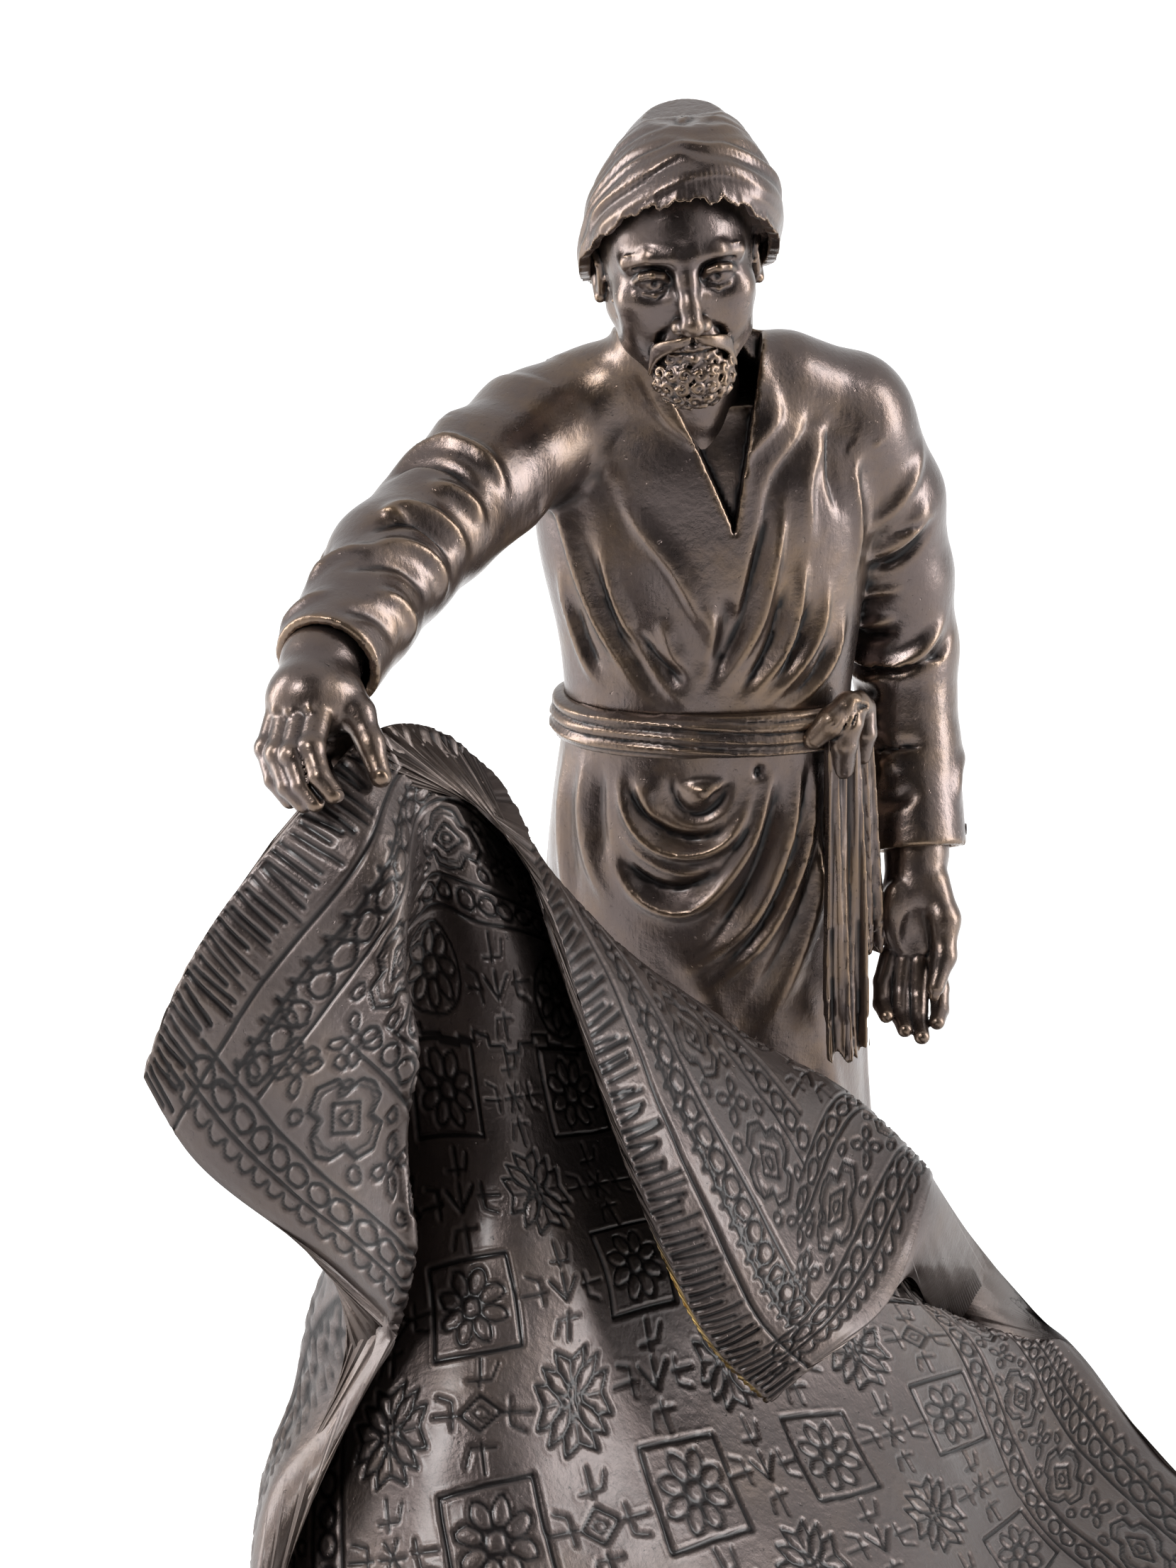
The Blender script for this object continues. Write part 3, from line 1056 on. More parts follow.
LEFT_FOLDS = [([(16, -16), (22, -6), (26, 3), (24, 10)], 0.9, 1.4, 1.6),
              ([(26, -10), (32, -2), (34, 6), (31, 13)], 1.6, 1.4, 2.2),
              ([(30, -9), (36, -1), (37, 7)], -1.4, 1.2, 1.8), ([(42, -2), (43, 6), (40, 12)], 0.9, 1.1, 1.4),
              ([(50, 0), (52, 8), (49, 15)], 1.5, 1.3, 1.5), ([(54, 0), (55, 8), (53, 15)], -1.4, 1.2, 1.3),
              ([(52, -12), (58, -4), (61, 4), (59, 13), (54, 18)], 1.8, 1.4, 1.8),
              ([(56, -13), (62, -5), (65, 3), (63, 12)], -1.5, 1.3, 1.6),
              ([(66, 2), (67, 9), (64, 17)], 1.2, 1.3, 1.4), ([(70, 6), (71, 14)], -0.9, 1.3, 1.3),
              ([(80, -4), (82, 4), (80, 12)], -1.1, 1.8, 2.0), ([(86, 2), (87, 9)], 0.9, 1.8, 1.8),
              ([(92, -2), (94, 6), (92, 12)], -1.0, 1.6, 2.0),
              ([(30, 22), (45, 24), (60, 22)], 1.0, 2.4, 2.4),
              ([(10, 0), (22, 14), (30, 24)], -1.1, 1.5, 2.4), ([(6, -4), (16, 10), (24, 20)], 1.0, 1.8, 2.0),
              ([(84, -22), (88, -14), (96, -12)], 0.8, 2.0, 2.0)]


def add_sleeve(body, points, sizes, folds, up, low, high):
    """A sleeve with its folds, cut off and hollow at the wrist."""
    length = np.linalg.norm(np.diff(points, axis=0), axis=1).sum()
    area, x, y, z = body.window(low, high)
    distance = sleeve_distance(points, sizes, sleeve_relief(folds, length), x, y, z, up)
    body.add(area, distance, 3.0)
    end, way = points[-1], points[-1] - points[-2]
    way = way / np.linalg.norm(way)
    past = (x - end[0]) * way[0] + (y - end[1]) * way[1] + (z - end[2]) * way[2]
    body.carve(area, -past, 0.6)
    inner = np.maximum(distance + 2.0, -(past + 14))
    body.carve(area, inner, 0.4)


def robe_torso():
    body = Sculpt((-86, -114, 128), (58, 12, 256), VOXEL)
    area, x, y, z = body.window((-42, -50, 158), (40, 10, 256))
    distance, angle = oval_distance(TORSO_OVALS, x, y, z)
    distance = distance - torso_relief.read(angle * GIRTH, np.broadcast_to(z, angle.shape))
    wavy = 250.5 + 0.5 * np.sin(angle * 4)
    body.add(area, np.maximum(distance, np.maximum(z - wavy, 161 - z)))
    add_sleeve(body, RIGHT_ARM, RIGHT_SIZES, RIGHT_FOLDS, (0, 0, 1), (-86, -114, 188), (-10, 0, 248))
    add_sleeve(body, LEFT_ARM, LEFT_SIZES, LEFT_FOLDS, (0, -1, 0), (12, -34, 128), (58, 12, 248))
    # the yoke over each shoulder
    body.limb([(3, -26, 242), (14, -21.5, 238.5), (27, -16, 233)], [7.5, 9.0, 9.5], 4)
    body.limb([(-14, -27, 242), (-22, -24, 236.5), (-36, -27, 230)], [7.5, 9.0, 10.5], 4)
    # the collar stands off the neck, and the V opens the chest
    area, x, y, z = body.window((-24, -50, 212), (16, -4, 256))
    distance, angle = oval_distance(TORSO_OVALS, x, y, z)
    body.carve(area, np.maximum(distance + 2.2, 236 - z), 0.4)
    drop = np.clip((250 - z) / 36, 0, 1)
    left_edge = -14.5 + 18.5 * drop ** 0.85
    right_edge = 10.0 - 5.2 * drop
    notch = np.maximum(np.maximum(left_edge - x, x - right_edge), np.maximum(212.5 - z, y + 22))
    body.carve(area, np.maximum(notch, -(distance + 4.5)), 0.5)
    cast(body, "robe_torso", ["torso", "right_sleeve", "left_sleeve"], FIGURE_BRONZE)


robe_skirt()
robe_torso()


# ---------------------------------------------------------------- sash, knot and tails
def sash():
    body = Sculpt((-38, -50, 96), (42, 10, 184), VOXEL * 0.75)
    area, x, y, z = body.window((-38, -50, 158), (36, 8, 180))
    distance, angle = oval_distance(SKIRT_OVALS, x, y, z)
    middle = 169.2 - 0.03 * x - 0.08 * (y + 21) + 0.8 * np.sin(2 * angle + 0.6)
    rise = (z - middle) / 4.6
    bulge = 2.3 * np.sqrt(np.clip(1 - rise ** 4, 0, 1))
    twist = 10.5 * rise + 1.5 * np.sin(1.7 * angle + 0.5) + 0.8 * np.sin(4.3 * angle)
    pleat = 0.42 * np.cos(twist) + 0.18 * np.cos(2.3 * twist + 3 * angle)
    band = np.maximum(distance - bulge - pleat, (np.abs(rise) - 1) * 4.6)
    body.add(area, np.maximum(band, -(distance + 0.6)))
    cast(body, "sash_wrap", ["sash_band"], FIGURE_BRONZE)


def strip_distance(x, y, z, centres, half_width, half_gauge, turn, ripple, seed):
    """A hanging strip: centres are (x, y, z) from top to bottom."""
    centres = np.asarray(centres, float)[::-1]
    heights = np.clip(z.ravel(), centres[0, 2], centres[-1, 2])
    cx = spline(centres[:, 2], centres[:, 0], heights)[None, None, :]
    cy = spline(centres[:, 2], centres[:, 1], heights)[None, None, :]
    share = ((centres[-1, 2] - heights) / (centres[-1, 2] - centres[0, 2]))[None, None, :]
    half = half_width[0] + (half_width[1] - half_width[0]) * share
    u = (x - cx) * math.cos(turn) + (y - cy) * math.sin(turn)
    v = -(x - cx) * math.sin(turn) + (y - cy) * math.cos(turn)
    wave = ripple * np.sin(u * 1.1 + z * 0.045 + seed) * (0.3 + share)
    groove = 0.28 * np.cos(u * 3.1 + 1.2 * np.sin(z * 0.06 + seed)) + 0.12 * np.cos(u * 6.3 + z * 0.03)
    return np.maximum(np.abs(u) - half, np.abs(v - wave) - half_gauge - groove), u


def add_tail(body, strip, fringe, end):
    """A strip with fringe (tooth pitch, top) and a ragged end (height, depth, waves)."""
    area, x, y, z = body.window((18, -46, 99), (42, -20, 172))
    distance, u = strip_distance(x, y, z, *strip)
    pitch, fringe_top = fringe
    height, depth, waves = end
    comb = 0.5 * (np.abs((u * 0.95) % pitch - pitch / 2) < 0.22) * np.clip((fringe_top - z) / 2, 0, 1)
    body.add(area, np.maximum(distance + comb, height + depth * np.sin(u * waves) - z), 0.3)


def sash_tails():
    body = Sculpt((14, -50, 98), (42, -14, 184), VOXEL * 0.62)
    front = [(26.2, -35.4, 172), (27, -35.8, 150), (27.6, -36.4, 132), (28, -37.4, 116), (28.6, -38.2, 100)]
    add_tail(body, (front, (3.6, 4.6), 1.1, 0.45, 0.9, 0.4), (1.6, 111), (102, 1.2, 2.2))
    second = [(30, -30.8, 170), (31.2, -30.4, 152), (32, -29.4, 138), (33.4, -28.6, 122)]
    add_tail(body, (second, (2.9, 3.9), 1.0, 0.75, 0.5, 2.1), (1.5, 129), (121, 1.0, 2.6))
    cast(body, "sash_ends", ["sash_tail_long", "sash_tail_short"], FIGURE_BRONZE)


def sash_knot():
    body = Sculpt((16, -46, 158), (40, -20, 186), FINE_VOXEL)
    body.limb([(20.5, -38.6, 170), (24, -38.4, 173.5), (27.5, -36.2, 176.2), (30.5, -32.8, 175)],
              [2.2, 2.9, 2.7, 2.0], 1.0)
    body.limb([(29.5, -33.5, 176), (27.5, -37, 173), (26.6, -37.6, 168.5), (26.6, -36.4, 163)],
              [2.3, 2.9, 2.7, 2.2], 0.6)
    body.limb([(31, -31.4, 174), (31, -32.4, 169), (30.6, -31.8, 164)], [2.2, 2.4, 1.8], 0.6)
    for shift in (-1.5, 0.0, 1.4):
        body.curl([(21, -41.4, 169.6 + shift), (24.5, -41.6, 173 + shift), (28.2, -39.4, 176.4 + shift * 0.6),
                   (31, -35.2, 175.6)], 0.34, 0.3, carve=True)
    for shift in (-1.3, 0.2, 1.5):
        body.curl([(28.6 + shift, -38.6, 175), (27.2 + shift, -40.8, 171), (26.8 + shift, -40.2, 166),
                   (26.8 + shift, -38.4, 162)], 0.34, 0.3, carve=True)
    cast(body, "knot", ["sash_knot"], FIGURE_BRONZE)


# ---------------------------------------------------------------- head and cap
HEAD_CENTRE = np.array([-7.0, -36.0, 267.0])


def turned_axes(about_z, about_x, about_y):
    a, b, c = (math.radians(v) for v in (about_z, about_x, about_y))
    turn_z = np.array([[math.cos(a), -math.sin(a), 0], [math.sin(a), math.cos(a), 0], [0, 0, 1]])
    turn_x = np.array([[1, 0, 0], [0, math.cos(b), -math.sin(b)], [0, math.sin(b), math.cos(b)]])
    turn_y = np.array([[math.cos(c), 0, math.sin(c)], [0, 1, 0], [-math.sin(c), 0, math.cos(c)]])
    return turn_z @ turn_x @ turn_y


HEAD_TURN = turned_axes(6, 8, -6)


def in_head(points):
    """Head coordinates (face towards -Y, Z up) to the shared frame."""
    return HEAD_CENTRE + np.atleast_2d(points) @ HEAD_TURN.T


class HeadSculpt(Sculpt):
    def ball(self, centre, radii, blend=1.0, carve=False):
        self.egg(in_head(centre)[0], radii, blend, carve, HEAD_TURN.T)

    def both(self, centre, radii, blend=1.0, carve=False):
        for side in (-1, 1):
            self.ball((side * centre[0], centre[1], centre[2]), radii, blend, carve)

    def line(self, points, sizes, blend=0.6, carve=False):
        self.limb(in_head(points), sizes, blend, carve)

    def lines(self, points, sizes, blend=0.6, carve=False):
        for side in (-1, 1):
            self.line([(side * x, y, z) for x, y, z in points], sizes, blend, carve)

    def strand(self, points, radius, blend=0.25, carve=False):
        self.curl(in_head(points), radius, blend, carve)


def spiral(centre, normal, radius, turns, hand):
    """A rolled curl of hair that lies on a surface and rises to its middle."""
    normal = np.asarray(normal, float) / np.linalg.norm(normal)
    first = np.cross(normal, (0.13, 0.21, 0.97))
    first /= np.linalg.norm(first)
    second = np.cross(normal, first)
    t = np.linspace(0, 1, 9)
    reach = radius * (1 - 0.78 * t)
    turn = hand * 2 * math.pi * turns * t
    flat = np.outer(reach * np.cos(turn), first) + np.outer(reach * np.sin(turn), second)
    return np.asarray(centre) + flat + np.outer(0.35 + t, normal)


def skull(body):
    """Skull, jaw, chin and cheeks."""
    body.ball((0, 1, 6), (15.0, 18.2, 18.2))
    body.ball((0, -4.2, -5), (12.4, 12.6, 13), 5)
    body.ball((0, -10.4, -17), (6.4, 5.6, 5.0), 4)
    body.lines([(11.2, -1, -8), (9, -6.5, -13), (4.5, -12, -18)], [3.2, 3.0, 3.0], 3)
    body.both((9.2, -10.6, -2.6), (4.2, 4.4, 3.4), 3)


def eyes(body):
    """Cheeks, brow, eye sockets, eyes, lids and eyebrows."""
    body.both((7.6, -10.8, -8), (4.6, 4.2, 5.2), 4)
    body.lines([(10.6, -12.2, 4.9), (6.4, -15.2, 6.6), (2.4, -16.3, 6.6)], [1.3, 1.3, 1.2], 2.4)
    body.both((6.3, -16.9, 1.9), (4.4, 3.2, 3.3), 1.8, carve=True)
    body.both((6.2, -12.4, 1.7), (3.6, 3.4, 3.4), 0.3)
    upper_lid = [(9.7, -13.2, 1.2), (8.3, -15.0, 2.9), (6.3, -15.9, 3.4), (4.3, -15.5, 2.8), (3.0, -14.6, 0.9)]
    body.lines(upper_lid, [0.5, 0.8, 0.9, 0.75, 0.5], 0.35)
    lower_lid = [(9.6, -13.1, 0.9), (8.1, -14.6, -0.6), (6.1, -15.3, -1.0), (4.3, -15.0, -0.5),
                 (3.1, -14.5, 0.7)]
    body.lines(lower_lid, [0.45, 0.6, 0.6, 0.55, 0.4], 0.3)
    body.lines([(9.4, -14.0, 4.4), (6.3, -16.3, 5.0), (3.3, -15.7, 4.2)], [0.35, 0.45, 0.35], 0.5, carve=True)
    body.both((5.9, -15.75, 1.4), (0.85, 0.5, 0.85), 0.2, carve=True)
    for step in range(9):
        x = 2.8 + 0.9 * step
        y = -17.2 + 0.038 * x * x
        rise = 0.6 * math.sin(0.32 * step)
        body.lines([(x, y, 6.4 + rise), (x + 1.2, y + 0.3, 7.3 + rise - 0.1 * step)], [0.3, 0.2], 0.3)


def nose(body):
    """Nose with its wings and the lines beside it."""
    ridge = [(0, -16.2, 5.4), (0, -17.4, 1.8), (0, -19.2, -2.2), (0, -21.0, -5.4)]
    body.line(ridge, [1.7, 1.6, 1.8, 2.1], 1.8)
    body.ball((0, -20.8, -6.0), (2.3, 2.0, 1.9), 0.9)
    body.both((2.5, -18.6, -6.6), (1.5, 2.0, 1.5), 0.9)
    body.both((1.15, -19.6, -8.0), (0.65, 1.0, 0.7), 0.3, carve=True)
    beside = [(3.4, -17.4, -7.2), (5.4, -15.6, -9.4), (6.6, -13.8, -12.4)]
    body.lines(beside, [0.25, 0.35, 0.3], 1.4, carve=True)


def lips(body):
    """Lips and the line between them."""
    body.ball((0, -15.4, -12.4), (5.0, 2.6, 4.2), 2.0)
    body.line([(-4.2, -16.2, -12.2), (-1.3, -18.0, -11.4), (0, -17.9, -11.8), (1.3, -18.0, -11.4),
               (4.2, -16.2, -12.2)], [0.5, 0.8, 0.75, 0.8, 0.5], 0.5)
    body.line([(-3.5, -16.4, -13.2), (0, -17.9, -13.8), (3.5, -16.4, -13.2)], [0.6, 1.0, 0.6], 0.5)
    between = [(-4.5, -16.3, -12.5), (0, -18.9, -12.6), (4.5, -16.3, -12.5)]
    body.line(between, [0.25, 0.3, 0.25], 0.3, carve=True)


def ears(body):
    """Ears, hollow inside their rims."""
    body.both((15.0, 1.6, -1.4), (1.5, 3.6, 5.8), 0.8)
    body.both((16.4, 0.6, -1.4), (1.0, 2.0, 3.4), 0.5, carve=True)
    body.lines([(15.4, -1.2, 1.0), (16.2, 0.6, 4.0), (16.4, 3.4, 3.2), (16.2, 4.6, 0), (15.8, 3.4, -4),
                (15.4, 0.4, -6.6)], [0.6, 0.8, 0.9, 0.8, 0.8, 1.1], 0.4)


def neck(body):
    """Neck with its tendons."""
    body.limb([(-4, -24, 228), (-4.5, -27, 240), (-7, -31, 258)], [9.8, 9.2, 9.4], 3)
    body.limb([in_head((-10.5, -0.5, -10))[0], (-9.5, -31.5, 246), (-7.5, -32.4, 234)], [2.2, 2.6, 2.2], 3)
    body.limb([in_head((10.5, -0.5, -10))[0], (0.5, -31.5, 246), (-1.5, -32.4, 234)], [2.2, 2.6, 2.2], 3)


def whiskers(body):
    """Moustache strands, and curls along the jaw."""
    for side in (-1, 1):
        for row in range(6):
            low = 0.5 * row
            body.strand([(side * 0.6, -18.9 + 0.1 * row, -8.8 - low * 0.5),
                         (side * 3.2, -18.4, -9.5 - low * 0.55),
                         (side * 5.6, -16.8, -10.4 - low * 0.8), (side * 7.2, -14.9, -11.9 - low * 1.1),
                         (side * (7.6 + 0.15 * row), -13.7, -14.2 - low * 1.4)], 0.52)
        for step in range(26):
            along = step / 25
            centre = np.array((side * (14.2 - 5.6 * along), 0.2 - 10.8 * along ** 1.2, 0.5 - 16 * along))
            centre += (side * 0.3 * math.sin(7 * step), 0.9 * math.sin(3 * step), 0.9 * math.cos(5 * step))
            outward = HEAD_TURN @ (side * (1.2 - along), -0.9 * along - 0.15, -0.2)
            hand = 1 if step % 2 else -1
            body.curl(spiral(in_head(centre)[0], outward, 0.75, 1.0, hand), 0.34, 0.25)


def goatee(body):
    """A goatee of rolled curls."""
    body.ball((0, -12.4, -18.6), (7.0, 5.8, 5.6), 1.5)
    rows = ((-14.6, 5, 46), (-16.9, 7, 62), (-19.3, 7, 66), (-21.6, 6, 60), (-23.4, 4, 44))
    for number, (height, count, spread) in enumerate(rows):
        for k in range(count):
            a = math.radians((2 * (k + 0.25 * (number % 2)) / (count - 1) - 1) * spread)
            level = (height + 18.6) / 5.9
            flat = math.sqrt(max(0.06, 1 - level * level))
            centre = (7.1 * flat * math.sin(a), -12.4 - 6.0 * flat * math.cos(a), height)
            normal = HEAD_TURN @ np.array((math.sin(a) * flat, -math.cos(a) * flat, level))
            hand = 1 if (k + number) % 2 else -1
            body.curl(spiral(in_head(centre)[0], normal, 1.6, 1.35, hand), 0.58, 0.15)


def head():
    body = HeadSculpt((-32, -66, 226), (18, -6, 296), FINE_VOXEL)
    for feature in (skull, eyes, nose, lips, ears, neck, whiskers, goatee):
        feature(body)
    cast(body, "head_and_neck", ["head"], FIGURE_BRONZE)


# Height in the head's coordinates, centre x and y, half width and half depth of the cap.
CAP_OVALS = np.array([(-14, -0.6, 2.6, 15.0, 17.4), (-8, -0.2, 2.4, 16.2, 18.4), (-4, 0.2, 2.0, 17.0, 19.4),
                      (3, 0.8, 1.2, 18.2, 20.2), (10, 1.3, 0.8, 18.0, 20.2), (16, 2.0, 0.8, 16.8, 19.4),
                      (20, 2.7, 1.0, 15.0, 17.6), (24, 3.2, 1.4, 12.6, 15.0), (26.6, 3.6, 2.0, 10.0, 12.4),
                      (28.0, 3.8, 2.4, 7.4, 9.4), (29.0, 4.0, 2.6, 3.4, 4.6)], float)
CAP_GIRTH = 18.0
CAP_FOLDS = [  # (degrees round, height) points; ridge height, width, far width
    ([(-92, -2), (-70, 8), (-48, 15.5), (-20, 21.5), (8, 23.0), (30, 21.5), (55, 16), (80, 9), (100, 4)],
     1.3, 1.2, 3.4),
    ([(-90, 1), (-68, 11), (-46, 18.5), (-18, 24), (8, 25.2), (32, 24), (58, 18.5), (84, 11)],
     -0.9, 1.0, 1.4),
    ([(-80, 9), (-58, 18), (-34, 23.4), (-8, 26.8), (20, 27.6)], 1.1, 1.1, 2.6),
    ([(-76, 12.5), (-54, 20.6), (-30, 25.4), (-4, 28)], -0.7, 0.9, 1.4),
    ([(20, 19.5), (44, 16), (66, 9.5), (86, 2)], 0.9, 1.2, 2.4),
    ([(-40, 15), (-22, 19), (-6, 20.5), (6, 21.5)], 0.8, 1.6, 2.2),
    ([(-86, -6), (-82, 2), (-66, 9)], 0.7, 1.4, 2.0),
    ([(60, 22), (75, 16), (92, 8), (110, 2)], 0.8, 1.5, 2.4),
    ([(100, 6), (130, 10), (165, 9), (200, 10), (230, 8), (262, 0)], 1.2, 1.3, 3.2),
    ([(104, 14), (140, 18), (180, 17), (220, 18), (262, 12)], 1.0, 1.3, 3.0),
    ([(110, 22), (150, 24.5), (200, 24)], 0.8, 1.2, 2.4),
    ([(-100, 4), (-130, 10), (-160, 9)], 0.6, 1.3, 2.4),
]


# Slanting planes in which the wrapped layers end: slope towards the back, height at the centre, gauge.
CAP_LAYERS = ((2.0, 6.3, 1.2), (1.8, 19.4, 1.1), (1.5, 30.2, 0.8))
# Height of the brim at degrees round from the middle of the forehead.
BRIM_DEGREES = (0, 22, 40, 55, 70, 85, 100, 125, 180)
BRIM_HEIGHTS = (18.6, 17.8, 14.6, 10.0, 4.0, -2.0, -6.4, -7.0, -6.4)
CAP_WALL = 2.2


def cap_relief():
    relief = Relief((-math.pi * CAP_GIRTH, -16), (math.pi * CAP_GIRTH, 32), 0.4)
    for points, height, width, far in CAP_FOLDS:
        points = np.asarray(points, float)
        for whole in (-360, 0, 360):
            a = np.radians(points[:, 0] + whole) * CAP_GIRTH
            if a.max() > -70 and a.min() < 70:
                relief.fold(np.stack([a, points[:, 1]], axis=1), width, height, far)
    return relief


def cap():
    low, high = (-34, -66, 250), (22, -8, 302)
    body = Sculpt(low, high, FINE_VOXEL)
    area, x, y, z = body.window(low, high)
    x, y, z = x - HEAD_CENTRE[0], y - HEAD_CENTRE[1], z - HEAD_CENTRE[2]
    turn = HEAD_TURN.T.astype(np.float32)
    hx, hy, hz = (turn[i, 0] * x + turn[i, 1] * y + turn[i, 2] * z for i in range(3))
    table = np.arange(-14, 29.1, 0.1)
    clipped = np.clip(hz, -14, 29.0)
    rows = (spline(CAP_OVALS[:, 0], CAP_OVALS[:, i], table) for i in range(1, 5))
    cx, cy, rx, ry = (np.interp(clipped, table, row).astype(np.float32) for row in rows)
    px, py = hx - cx, hy - cy
    k0 = np.sqrt((px / rx) ** 2 + (py / ry) ** 2) + 1e-6
    k1 = np.sqrt((px / rx ** 2) ** 2 + (py / ry ** 2) ** 2) + 1e-6
    outer = np.maximum(k0 * (k0 - 1) / k1, hz - 28.9)
    angle = np.arctan2(px / rx, -py / ry)
    soft = np.clip((29.5 - hz) / 6, 0.15, 1)
    knit = 0.06 * np.sin(angle * 95) * np.clip(1 - np.abs(hz - 24) / 8, 0, 1)
    outer = outer - 0.8 * cap_relief().read(angle * CAP_GIRTH, clipped) * soft - knit
    outer = outer + 1.9
    for number, (slope, level, gauge) in enumerate(CAP_LAYERS):
        wave = np.sin(angle * 3 + number) + 0.5 * np.sin(angle * 8 + 2 * number)
        edge = (hz + slope * hy - level + wave) / math.hypot(1, slope)
        outer = outer - gauge / (1 + np.exp(np.clip(edge / 0.22, -30, 30)))
        pleat = np.cos(edge * 1.5 + 1.6 * np.sin(angle * 2.5 + number)) * np.exp(-((edge + 3) / 3) ** 2)
        outer = outer - 0.3 * pleat
    degrees = np.degrees(np.abs(angle + 0.06))
    ragged = 0.4 * np.sin(angle * 23) + 0.22 * np.sin(angle * 57 + 1) + 0.3 * np.sin(angle * 11 + 2)
    brim = np.interp(degrees, BRIM_DEGREES, BRIM_HEIGHTS) + ragged * np.clip((95 - degrees) / 40, 0.25, 1)
    outer = np.where(hz - brim < 2.4, outer - 0.55 * np.clip(1 - (hz - brim) / 2.4, 0, 1) ** 2, outer)
    shell = np.maximum(outer, brim - hz)
    shell = np.maximum(shell, -np.maximum(outer + CAP_WALL, hz - brim - 5))
    body.add(area, shell.astype(np.float32))
    cast(body, "wrapped_cap", ["cap"], FIGURE_BRONZE)


# ---------------------------------------------------------------- hands
def right_hand():
    body = Sculpt((-96, -136, 172), (-50, -86, 218), FINE_VOXEL)
    body.limb([(-70.5, -92, 208.5), (-73, -99, 206), (-74.6, -106, 203)], [6.6, 7.2, 6.6], 2)
    body.egg((-75.0, -108, 201.4), (7.8, 6.4, 7.6), 3.5, axes=turned_axes(0, 28, 8).T)
    body.egg((-69.8, -106.5, 201.6), (5.0, 5.0, 5.6), 3)
    body.egg((-69.4, -105.2, 195.4), (6.0, 3.4, 8.0), 2)
    fingers = (
        ([(-80.4, -109.5, 200), (-82.2, -114.5, 195), (-80.8, -118.4, 190.4), (-78.0, -121, 187.4)], 2.25),
        ([(-78.6, -111.5, 200), (-80.0, -117.5, 195), (-78.2, -121.4, 190.2), (-75.4, -123.6, 187.6)], 2.35),
        ([(-76.0, -113, 200.4), (-77.4, -119.4, 195.4), (-75.6, -122.8, 190.8), (-73.2, -124.8, 188.2)], 2.35),
        ([(-73.0, -113, 201), (-74.0, -119.2, 196.6), (-72.4, -123.0, 192.6), (-69.9, -124.7, 189.9)], 2.5))
    for joints, size in fingers:
        body.limb(joints, [size * 1.08, size, size * 0.86, size * 0.74], 0.5)
        body.egg(joints[1], (size * 1.1,) * 3, 0.6)
    for joints, size in fingers[:-1]:
        crease = [(p[0] + 1.7, p[1] - 1.2, p[2] + 0.4) for p in joints]
        body.limb(crease, [0.3, 0.45, 0.45, 0.35], 0.4, carve=True)
    body.limb([(-69.8, -105, 204), (-66.0, -109.6, 200), (-63.6, -113.4, 195.6), (-61.6, -117.2, 190.4)],
              [3.2, 3.1, 2.5, 2.0], 1.6)
    body.egg((-61.5, -118.6, 190.8), (1.3, 0.7, 1.5), 0.3)
    body.egg((-68.8, -116.8, 194.0), (3.2, 5.0, 4.2), 0.8, carve=True)
    for base, end in (((-75.5, -102, 208.8), (-80.6, -112, 201.4)),
                      ((-74.0, -102.4, 208.9), (-78.0, -114.0, 201.8)),
                      ((-72.6, -102.8, 208.6), (-74.4, -114.8, 202.6))):
        body.limb([base, end], [0.5, 0.8], 1.2)
    cast(body, "gripping_hand", ["right_hand"], FIGURE_BRONZE)


def left_hand():
    body = Sculpt((28, -46, 98), (58, -8, 152), FINE_VOXEL)
    body.limb([(42.3, -15, 148), (42.8, -18.4, 139), (42.4, -21.4, 132)], [6.0, 6.2, 6.4], 2)
    body.egg((41.8, -24.0, 125.6), (6.6, 4.3, 9.4), 3, axes=turned_axes(0, -10, 0).T)
    body.limb([(45.8, -23.4, 133.5), (47.8, -26.8, 127), (47.9, -30.2, 120.4), (46.2, -33.4, 115)],
              [3.6, 3.5, 2.5, 1.9], 1.6)
    body.egg((38.2, -26.2, 128), (3.2, 2.8, 6.8), 1.6)
    body.egg((42.2, -29.0, 124.4), (2.6, 1.7, 4.8), 1.6, carve=True)
    fingers = (
        ([(37.4, -25.6, 118.6), (35.9, -27.6, 113.8), (35.5, -31.4, 110.4), (36.3, -35.2, 109.4)], 1.95),
        ([(40.2, -26.4, 117.8), (39.6, -28.6, 112.0), (39.4, -33.0, 108.2), (40.0, -37.2, 107.2)], 2.05),
        ([(43.2, -26.6, 117.6), (43.1, -28.8, 111.4), (43.0, -33.6, 107.2), (43.4, -38.0, 106.0)], 2.1),
        ([(46.3, -26.2, 118.4), (47.4, -28.4, 112.6), (47.4, -31.6, 109.2), (46.6, -35.2, 108.0)], 2.05))
    for joints, size in fingers:
        body.limb(joints, [size * 1.1, size, size * 0.9, size * 0.78], 0.5)
    body.egg((46.0, -34.7, 113.6), (1.1, 0.6, 1.3), 0.2)
    for p, q in (((36.2, -29.6, 121.6), (45.6, -29.4, 119.2)), ((38.0, -30.0, 128.4), (44.4, -30.0, 121.0))):
        body.limb([p, q], [0.35, 0.3], 0.4, carve=True)
    cast(body, "open_hand", ["left_hand"], FIGURE_BRONZE)


sash()
sash_tails()
sash_knot()
head()
cap()
right_hand()
left_hand()


